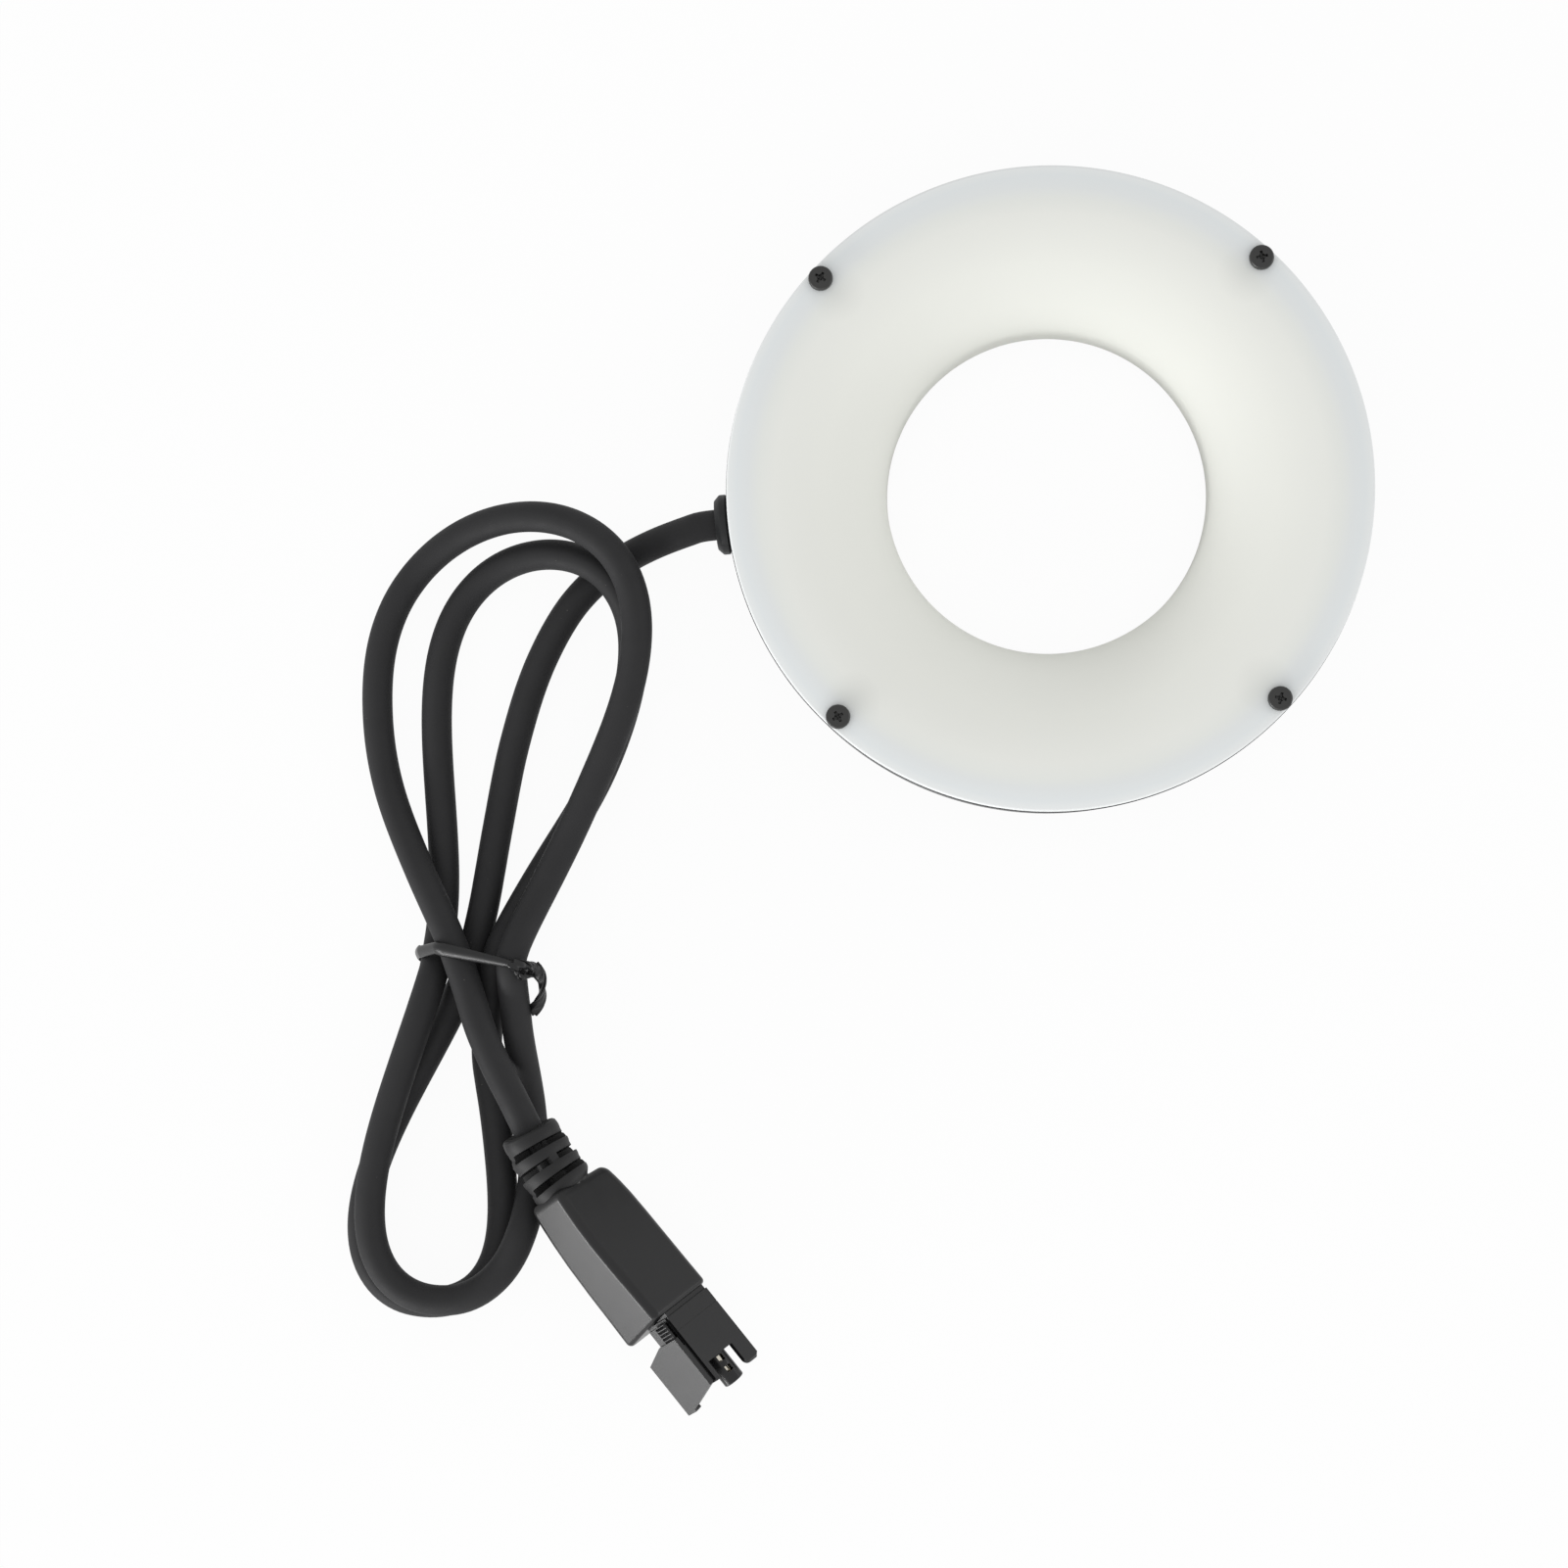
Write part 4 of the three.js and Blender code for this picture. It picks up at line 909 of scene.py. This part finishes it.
OVERMOULD_LENGTH = 29.9
OVERMOULD_START = (13.7, 10.2)
OVERMOULD_TIP = (15.1, 12.5)
OVERMOULD_END = RELIEF_LENGTH + OVERMOULD_LENGTH
NECK_END = OVERMOULD_END + 4.1
BODY_END = NECK_END + 8.1
OUTER_SIDE = -7.4
INNER_SIDE = 4.6
TOP = 5.3
LOW = -1.3
TUBE_SIDE = -1.4
TUBE_HEIGHT = 2.0
WINDOW_TURN = 22
LATCH_INNER = 5.6
LATCH_OUTER = 6.6
LATCH_ROOT = NECK_END + 0.3


def rounded_section(width, thickness, radius, steps=8):
    section = []
    for quarter, (a, b) in enumerate(((1, 1), (-1, 1), (-1, -1), (1, -1))):
        for i in range(steps + 1):
            angle = math.pi / 2 * (quarter + i / steps)
            section.append((
                a * (width / 2 - radius) + radius * math.cos(angle),
                b * (thickness / 2 - radius) + radius * math.sin(angle),
            ))
    return section


# The strain relief's rows of slots: where each starts, and its slots from angle to angle
RELIEF_SLOTS = [
    (2.45, [(28, 190), (208, 368)]),
    (5.85, [(120, 246), (14, 104), (266, 354)]),
    (9.2, [(28, 190), (208, 368)]),
]
SLOT_WIDTH = 1.4
SLOT_LEAN = 0.15
SLOT_FACING = math.radians(129)
# The strain relief's outline, from the cord into the overmould: (radius, distance along)
RELIEF_OUTLINE = [
    (0, 0), (4.65, 0), (5.1, 0.1), (5.42, 0.4), (5.55, 0.9), (5.62, 1.5), (5.6, 2.1), (5.52, 2.5),
    (5.52, 3.6), (5.78, 3.9), (5.9, 4.4), (5.94, 4.9), (5.88, 5.4), (5.74, 5.9), (5.7, 7.0), (5.9, 7.3),
    (6.0, 7.8), (6.04, 8.3), (5.98, 8.8), (5.84, 9.3), (5.8, 10.4), (6.0, 10.7), (6.08, 11.2),
    (6.04, 11.9), (5.9, 12.4), (5.6, RELIEF_LENGTH + 0.1), (5.1, RELIEF_LENGTH + 0.6),
    (4.6, RELIEF_LENGTH + 3), (0, RELIEF_LENGTH + 3),
]
# The overmould's gap to the relief, the rounding of its first edge, and that of its last: (back, shrink)
START_GAP = 0.35
START_ROUND = 1.6
END_ROUND = [(0.9, 0), (0.62, 0.08), (0.3, 0.36), (0.08, 0.8), (0, 1.2)]


def sector(name, inner, outer, low, high, first, last, steps=24):
    """A leaning block bent round the plug's X axis. Its angles are in degrees from Y towards Z."""
    def corner(x, radius, angle):
        lean = SLOT_LEAN * (5.5 - radius * math.cos(angle - SLOT_FACING))
        return (x + lean, radius * math.cos(angle), radius * math.sin(angle))

    rings = []
    for i in range(steps + 1):
        angle = math.radians(first + (last - first) * i / steps)
        places = ((low, inner), (high, inner), (high, outer), (low, outer))
        rings.append([corner(x, radius, angle) for x, radius in places])
    return skin(name, rings)


# The overmould is a little barrelled, and wider at its dark top face: (share of its length, right, left)
BARREL = [
    (0.0, 0.5, -0.7), (0.06, 0.95, -0.4), (0.14, 1.25, -0.1), (0.25, 1.4, 0.2), (0.4, 1.3, 0.4),
    (0.6, 1.05, 0.35), (0.8, 0.8, 0.15), (1.0, 0.6, 0.0),
]
# How far off square the plug's cross edges are. The photographed plug's tip seems raised, while this one
# lies on the surface, and the slant brings its edges to where the photograph has them.
SKEW = 0.1
START_SKEW = 0.16
END_SLANT = 2.2


def skew(piece):
    """Sets the ends of a piece a little off square, further forward on the right."""
    for vertex in piece.data.vertices:
        vertex.co.x += SKEW * vertex.co.y
    piece.data.update()
    return piece


def bend_relief(piece):
    """Bends what lies before the overmould in plan, as a parabola that ends along the plug's axis."""
    axis = Vector((1, 0, 0))
    sideways = Vector((0, math.cos(PLUG_ROLL), math.sin(PLUG_ROLL)))
    upward = axis.cross(sideways)
    for vertex in piece.data.vertices:
        point = vertex.co / MM
        share = max(0.0, 1 - point.x / RELIEF_LENGTH)
        outward = upward.cross(axis - sideways * RELIEF_SLOPE * share).normalized()
        middle = Vector((point.x, 0, 0)) + sideways * RELIEF_OFFSET * share ** 2
        vertex.co = (middle + outward * point.dot(sideways) + upward * point.dot(upward)) * MM
    piece.data.update()
    return piece


def settle(piece, material, nodes=(), body=BODY):
    """Shades a plug piece flat between its bevels, moves it to the plug's place and dresses it."""
    moved(flatten(piece), PLUG)
    return dress(piece, material, nodes, body)


def add_overmould(material):
    start = RELIEF_LENGTH + START_GAP
    length = OVERMOULD_LENGTH - START_GAP
    stations = []
    for i in range(9):
        angle = math.pi / 2 * i / 8
        away, shrink = START_ROUND * (1 - math.cos(angle)), START_ROUND * (1 - math.sin(angle))
        stations.append((away / OVERMOULD_LENGTH, shrink))
    stations += [(share / 20, 0) for share in range(2, 20)]
    stations += [(1 - back / OVERMOULD_LENGTH, shrink) for back, shrink in END_ROUND]
    rings = []
    for share, shrink in stations:
        right, left = table_at(BARREL, share, straight)
        width = OVERMOULD_START[0] + (OVERMOULD_TIP[0] - OVERMOULD_START[0]) * share - shrink
        thickness = OVERMOULD_START[1] + (OVERMOULD_TIP[1] - OVERMOULD_START[1]) * share - shrink
        ring = []
        for y, z in rounded_section(width, thickness, 1.5):
            slanted = END_SLANT * share * (1 - 2 * z / thickness) / 2
            slanted += (START_SKEW + (SKEW - START_SKEW) * share) * y
            side = max(0.0, 2 * y / width) * right * (0.5 + z / thickness) - max(0.0, -2 * y / width) * left
            ring.append((start + length * share + slanted, y + side, z))
        rings.append(ring)
    piece = skin("overmould_body", rings)
    relief = moved(turned("relief", RELIEF_OUTLINE, 96), turn(90, "Y"))
    for low, spans in RELIEF_SLOTS:
        for first, last in spans:
            cut(relief, sector("slot", 2.1, 8.0, low, low + SLOT_WIDTH, first, last))
    bevel(relief, 0.12, 2, 60)
    join(piece, bend_relief(relief))
    return settle(smooth(piece, 30), material, ["plug_overmould"])


def side_box(name, low_x, high_x, low_side, high_side, low, high):
    return box(name, (low_x, -high_side, low), (high_x, -low_side, high))


def tongue():
    """The connector's tongue, whose end is rounded in plan and sloped on top."""
    width, reach, round_off = 3.7, 5.1, 1.3
    tip = BODY_END + reach
    outline = [(BODY_END - 1, OUTER_SIDE), (tip - 0.5, OUTER_SIDE), (tip, OUTER_SIDE + 0.5)]
    for i in range(7):
        angle = math.pi / 2 * i / 6
        outline.append((
            tip - round_off * (1 - math.cos(angle)),
            OUTER_SIDE + width - round_off * (1 - math.sin(angle)),
        ))
    outline.append((BODY_END - 1, OUTER_SIDE + width))
    rings = []
    for z, back in ((TOP - 0.9, 0), (TOP - 0.5, 0), (TOP, 0.5)):
        rings.append([(x - back * max(0.0, (x - tip + 2) / 2), -side, z) for x, side in outline])
    return skin("tongue", rings)


def add_connector(material, metal_finish):
    start = OVERMOULD_END + 1.0
    piece = side_box("connector_shell", start, BODY_END, OUTER_SIDE, INNER_SIDE, LOW, TOP)
    parts = [
        ("neck", OVERMOULD_END - 0.4, start + 1, OUTER_SIDE + 0.05, INNER_SIDE - 0.5, LOW + 0.5, TOP - 0.45),
        ("rail", LATCH_ROOT + 2.6, BODY_END + 3.4, INNER_SIDE - 0.8, LATCH_INNER - 0.3, LOW + 0.6, TOP - 0.5),
        ("ledge", start, LATCH_ROOT + 3, INNER_SIDE - 0.8, INNER_SIDE + 0.3, TOP - 0.8, TOP - 0.5),
        ("shelf", NECK_END - 1.1, NECK_END, OUTER_SIDE + 0.2, INNER_SIDE + 0.2, LOW + 0.02, LOW + 2.8),
        ("wall", BODY_END - 1, BODY_END + 3.8, INNER_SIDE - 0.9, INNER_SIDE, LOW, TOP),
    ]
    for part in parts:
        join(piece, side_box(*part))
    join(piece, tongue())
    cuts = [
        ("seam", NECK_END - 0.06, NECK_END + 0.06, OUTER_SIDE - 1, INNER_SIDE + 1, TOP - 0.1, TOP + 1),
        ("front", BODY_END - 0.6, BODY_END + 1, OUTER_SIDE + 5, INNER_SIDE - 1.6, LOW + 0.8, TOP - 0.9),
    ]
    for part in cuts:
        cut(piece, side_box(*part))
    bevel(piece, 0.2, 3, 40)
    tube_start = BODY_END - 2.7
    tube_end = BODY_END + 6.3
    axis = shift(0, -TUBE_SIDE, TUBE_HEIGHT)
    at = axis @ turn(90, "Y")
    wall = [(1.5, tube_start), (2.1, tube_start), (2.1, tube_end - 0.2), (1.95, tube_end)]
    wall += [(1.6, tube_end), (1.5, tube_end - 0.15)]
    tube = moved(lathe("contact_tube", wall, 64), at)
    cut(piece, moved(rod("bore", 1.55, tube_start, tube_end + 1), at))
    for i in range(2):
        low_x = BODY_END + 0.45 + 2.4 * i
        window = box("window", (low_x, -0.65, 0), (low_x + 1.3, 0.65, 3))
        cut(tube, moved(window, axis @ turn(WINDOW_TURN, "X")))
    bevel(tube, 0.08, 2, 50)
    settle(skew(smooth(piece, 30)), material, ["connector_housing"])
    settle(smooth(tube, 30), material)
    end = tube_end - 0.3
    sleeve_profile = [(0.95, end - 7.6), (1.38, end - 7.6), (1.38, end - 0.25), (1.25, end), (1.0, end)]
    sleeve_profile.append((0.95, end - 0.2))
    sleeve = moved(lathe("contact_sleeve_form", sleeve_profile, 48), at)
    for i in range(3):
        slit = box("slit", (end - 4.2, -0.12, -2), (end + 1, 0.12, 2))
        cut(sleeve, moved(slit, axis @ turn(60 * i + 20, "X")))
    pin_end = tube_end - 0.6
    pin_profile = [(0, pin_end - 6.4), (0.45, pin_end - 6.4), (0.45, pin_end - 0.4), (0.3, pin_end - 0.08)]
    pin = moved(turned("contact_pin_form", [*pin_profile, (0, pin_end)], 32), at)
    for metal_piece, node in ((sleeve, "contact_sleeve"), (pin, "contact_pin")):
        smooth(metal_piece, 35)
        moved(metal_piece, PLUG)
        dress(metal_piece, metal_finish, [node])
    return [piece, tube, sleeve, pin]


LATCH_DEPTH = 10.6
LATCH_REACH = 13.9
LATCH_TAIL = 3.4
PIVOT_AHEAD = 1.6
# The ridges on the lever's tail: how far apart they are, and how high each one stands
RIDGE_PITCH = 0.72
RIDGE_RISES = (0.42, 0.3, 0.38, 0.26, 0.36)


def add_lever(material):
    low = TOP - LATCH_DEPTH
    nose = LATCH_ROOT + LATCH_REACH
    outline = [
        (LATCH_ROOT, TOP), (LATCH_ROOT, low + 5.4), (LATCH_ROOT + 2.2, low), (nose, low), (nose, low + 2.6),
        (nose - 0.5, low + 2.6), (nose - 3.1, TOP),
    ]
    rings = [[(x, -side, z) for x, z in outline] for side in (LATCH_INNER, LATCH_OUTER)]
    piece = skin("lever_plate", rings)
    back = LATCH_ROOT - LATCH_TAIL
    pivot = LATCH_ROOT + PIVOT_AHEAD
    inner, outer = LATCH_INNER, LATCH_OUTER
    parts = [
        ("hook", nose - 0.55, nose - 0.01, outer - 1.7, outer - 0.02, low + 0.02, low + 2.55),
        ("tail", back, LATCH_ROOT + 1, inner + 0.02, outer - 0.45, TOP - 5.0, TOP - 0.4),
        ("web", pivot - 0.5, pivot + 0.5, INNER_SIDE + FIT_GAP, inner + 0.5, LOW + 0.9, TOP - 0.9),
    ]
    for part in parts:
        join(piece, side_box(*part))
    bevel(piece, 0.14, 2, 40)
    for i, rise in enumerate(RIDGE_RISES):
        x = back + 0.1 + RIDGE_PITCH * i
        ridge = [
            (x, inner + 0.1, TOP - 0.5), (x + 0.3, inner + 0.14, TOP - 0.5 + rise),
            (x + 0.62, inner + 0.1, TOP - 0.5), (x + 0.62, outer - 0.5, TOP - 0.5),
            (x + 0.62, outer - 0.5, TOP - 3.3), (x + 0.25, outer - 0.1, TOP - 3.1 + rise),
            (x + 0.35, outer - 0.08, TOP - 0.9 + rise), (x, outer - 0.5, TOP - 3.3),
            (x, outer - 0.5, TOP - 0.5), (x + 0.3, inner + 0.3, TOP - 1.5),
        ]
        join(piece, hull("ridge", [(along, -side, z) for along, side, z in ridge]))
    return settle(smooth(piece, 30), material, ["latch_lever"], LEVER)


# Stage: the floor's height, its grey as a surface, its share of plain white where seen, and the sky's light

FLOOR_LEVEL = -0.3
FLOOR_GREY = 0.78
FLOOR_GLOW = 0.95
SKY_LIGHT = 0.84
WHITE = (1, 1, 1, 1)


def add_area(name, place, aim, size, power):
    data = bpy.data.lights.new(name, "AREA")
    data.shape = "RECTANGLE"
    data.size = size[0]
    data.size_y = size[1]
    data.energy = power
    lamp = new_object(name, data)
    lamp.location = place
    lamp.rotation_euler = (Vector(aim) - Vector(place)).to_track_quat("-Z", "Y").to_euler()
    lamp.visible_camera = False


def seen_as_background(tree):
    """1 where the camera, a reflection or glass shows the background, and 0 where it only gives light."""
    rays = add_node(tree, "ShaderNodeLightPath").outputs
    found = rays["Is Camera Ray"]
    for kind in ("Is Glossy Ray", "Is Transmission Ray"):
        found = add_node(tree, "ShaderNodeMath", {0: found, 1: rays[kind]}, operation="MAXIMUM").outputs[0]
    return found


def mix_seen(tree, output, share, light, shown):
    """Ends a tree in a mix of what the background gives as light and what it shows."""
    mixed = add_node(tree, "ShaderNodeMixShader", {0: share, 1: light.outputs[0], 2: shown.outputs[0]})
    add_node(tree, output, {"Surface": mixed.outputs[0]})


def add_stage():
    floor = mesh_object("floor", [(-4, -4, 0), (4, -4, 0), (4, 4, 0), (-4, 4, 0)], [(0, 1, 2, 3)], 1.0)
    floor.location.z = FLOOR_LEVEL * MM
    material = bpy.data.materials.new("floor_white")
    material.use_nodes = True
    tree = material.node_tree
    tree.nodes.clear()
    grey = (FLOOR_GREY, FLOOR_GREY, FLOOR_GREY, 1)
    diffuse = add_node(tree, "ShaderNodeBsdfDiffuse", {"Color": grey})
    glow = add_node(tree, "ShaderNodeEmission", {"Color": WHITE})
    values = {0: seen_as_background(tree), 1: FLOOR_GLOW}
    share = add_node(tree, "ShaderNodeMath", values, operation="MULTIPLY")
    mix_seen(tree, "ShaderNodeOutputMaterial", share.outputs[0], diffuse, glow)
    floor.data.materials.append(material)


def add_light():
    world = bpy.data.worlds.new("studio")
    bpy.context.scene.world = world
    world.use_nodes = True
    tree = world.node_tree
    tree.nodes.clear()
    soft = add_node(tree, "ShaderNodeBackground", {"Color": WHITE, "Strength": SKY_LIGHT})
    white = add_node(tree, "ShaderNodeBackground", {"Color": WHITE, "Strength": 1.0})
    mix_seen(tree, "ShaderNodeOutputWorld", seen_as_background(tree), soft, white)
    add_area("key", (-0.95, -0.945, 0.17), (-0.07, -0.14, 0.01), (1.0, 0.24), 11.5)
    add_area("front", (-0.1, -1.3, 0.45), (0, 0, 0), (1.2, 0.5), 2.5)
    add_area("side", (1.3, 0.0, 0.25), (0, 0, 0), (1.0, 0.3), 3.0)
    bpy.context.scene.view_settings.view_transform = "Standard"


# Finishes

# The opal plate's colours from its bore to its edge, with painted shade near the bore and in a bluish band
# over the housing's rim wall, and a painted bright line at the very edge: (share of the way, red, green,
# blue)
OPAL_PAINTED_SHADES = [
    (0.0, 224, 225, 219), (0.15, 228, 229, 223), (0.4, 231, 232, 226), (0.7, 230, 231, 226),
    (0.79, 226, 228, 224), (0.86, 222, 225, 225), (0.93, 222, 226, 227), (0.965, 226, 229, 229),
    (1.0, 230, 232, 232),
]
OPAL_SPAN = (30, 60)
# The painted shade beside the screws, where the housing's bosses lie behind the plate: its distance from the
# axis, and where it starts and ends fading
SHADE_SPOT_CIRCLE = 53.5
SHADE_SPOT_FADE = (0.5, 5.5)
SHADE_SPOT_SHARE = 0.22


def opal_with_painted_shade():
    made = Finish("opal_acrylic", colour(228, 229, 223), 0.7).specular(0.12)
    split = made.node("ShaderNodeSeparateXYZ", {0: made.place()}).outputs
    flat = made.node("ShaderNodeCombineXYZ", {"X": split["X"], "Y": split["Y"]}).outputs[0]
    size = made.node("ShaderNodeVectorMath", {0: flat}, operation="LENGTH")
    radius = made.map(size.outputs["Value"], *(end * MM for end in OPAL_SPAN))
    # Painted shade near the bore and over the rim wall, and a painted bright edge, set by the distance from
    # the axis
    tint = made.ramp(radius, [(place, colour(*shade)) for place, *shade in OPAL_PAINTED_SHADES])
    values = {"Vector": flat, "Angle": math.radians(-SCREW_ANGLES[0])}
    turned_place = made.node("ShaderNodeVectorRotate", values, rotation_type="Z_AXIS")
    parts = made.node("ShaderNodeSeparateXYZ", {0: turned_place.outputs[0]}).outputs
    wide = made.sum("ABSOLUTE", parts["X"])
    high = made.sum("ABSOLUTE", parts["Y"])
    far = made.sum("SUBTRACT", made.sum("MAXIMUM", wide, high), SHADE_SPOT_CIRCLE * MM)
    near = made.sum("MINIMUM", wide, high)
    away = made.sum("SQRT", made.sum("ADD", made.sum("MULTIPLY", far, far), made.sum("MULTIPLY", near, near)))
    shade = made.map(away, *(end * MM for end in SHADE_SPOT_FADE), SHADE_SPOT_SHARE, 0.0)
    # Painted shade of the bosses behind the plate, darkening the plate beside each screw
    tint = made.mix(shade, tint, colour(180, 182, 180))
    cloud = made.map(made.noise(28.0, 3.0), 0.35, 0.65, 0.0, 0.05)
    made.base(made.mix(cloud, tint, colour(205, 206, 200)))
    made.roughness(made.map(made.noise(60.0, 4.0), 0.3, 0.7, 0.64, 0.76))
    made.bump(made.noise(1500.0, 2.0), 0.004)
    return made.material


# Plastics by slot: name, colour, roughness, grain, its depth, mottling, specks and gloss
PLASTICS = {
    "anodised_black": ("black_anodised", (30, 31, 33), 0.42, 1400.0, 0.012),
    "black_steel": ("black_oxide", (32, 32, 31), 0.34, 600.0, 0.004),
    "solder_mask": ("white_mask", (233, 233, 228), 0.35, 300.0, 0.004, 0.02),
    "grey_pad": ("grey_silicone", (139, 143, 147), 0.8, 500.0, 0.02),
    "phosphor": ("yellow_phosphor", (233, 216, 79), 0.25, 400.0, 0.004, 0.04),
    "resistor_black": ("resistor_body", (28, 28, 30), 0.5),
    "nylon": ("natural_nylon", (230, 226, 210), 0.45, 400.0, 0.006, 0.03),
    "red_wire": ("red_insulation", (163, 32, 28), 0.4, 300.0, 0.004),
    "black_wire": ("black_insulation", (30, 30, 31), 0.4, 300.0, 0.004),
    "gland_black": ("gland_nylon", (38, 39, 40), 0.5, 700.0, 0.008, 0.06, 0.0, 0.25),
    "cord_jacket": ("cord_pvc", (44, 44, 45), 0.62, 260.0, 0.02, 0.1, 0.5, 0.16),
    "tie_plastic": ("tie_pvc", (24, 24, 25), 0.34, 200.0, 0.008, 0.1, 0.0, 0.35),
}
METALS = {"steel": ("plain_steel", (185, 187, 189), 0.34), "nickel": ("nickel_plate", (205, 200, 188), 0.2)}


def finishes():
    found = {"opal": opal_with_painted_shade(), "plug_plastic": plug_finish()}
    for make, rows in ((plastic, PLASTICS), (metal, METALS)):
        for slot, (name, shade, *rest) in rows.items():
            found[slot] = make(name, colour(*shade), *rest).material
    return found


# The whole light

add_camera()
LOOK = finishes()
cord, cord_path, hank_line = add_cord(LOOK["cord_jacket"])
tie = add_tie(hank_line, LOOK["tie_plastic"])
overmould = add_overmould(LOOK["plug_plastic"])
connector = add_connector(LOOK["plug_plastic"], LOOK["nickel"])
lever = add_lever(LOOK["plug_plastic"])
gland = add_gland(LOOK["gland_black"])
add_diffuser(LOOK["opal"])
add_housing(LOOK["anodised_black"])
add_screws(LOOK["black_steel"])

slots = {row["node"]: row["material_slot"] for row in frame["record"]["subparts"]}
for node, part in frame["nodes"].items():
    if part.hide_render:
        continue
    part.data.materials.clear()
    part.data.materials.append(LOOK[slots[node]])

add_stage()
add_light()
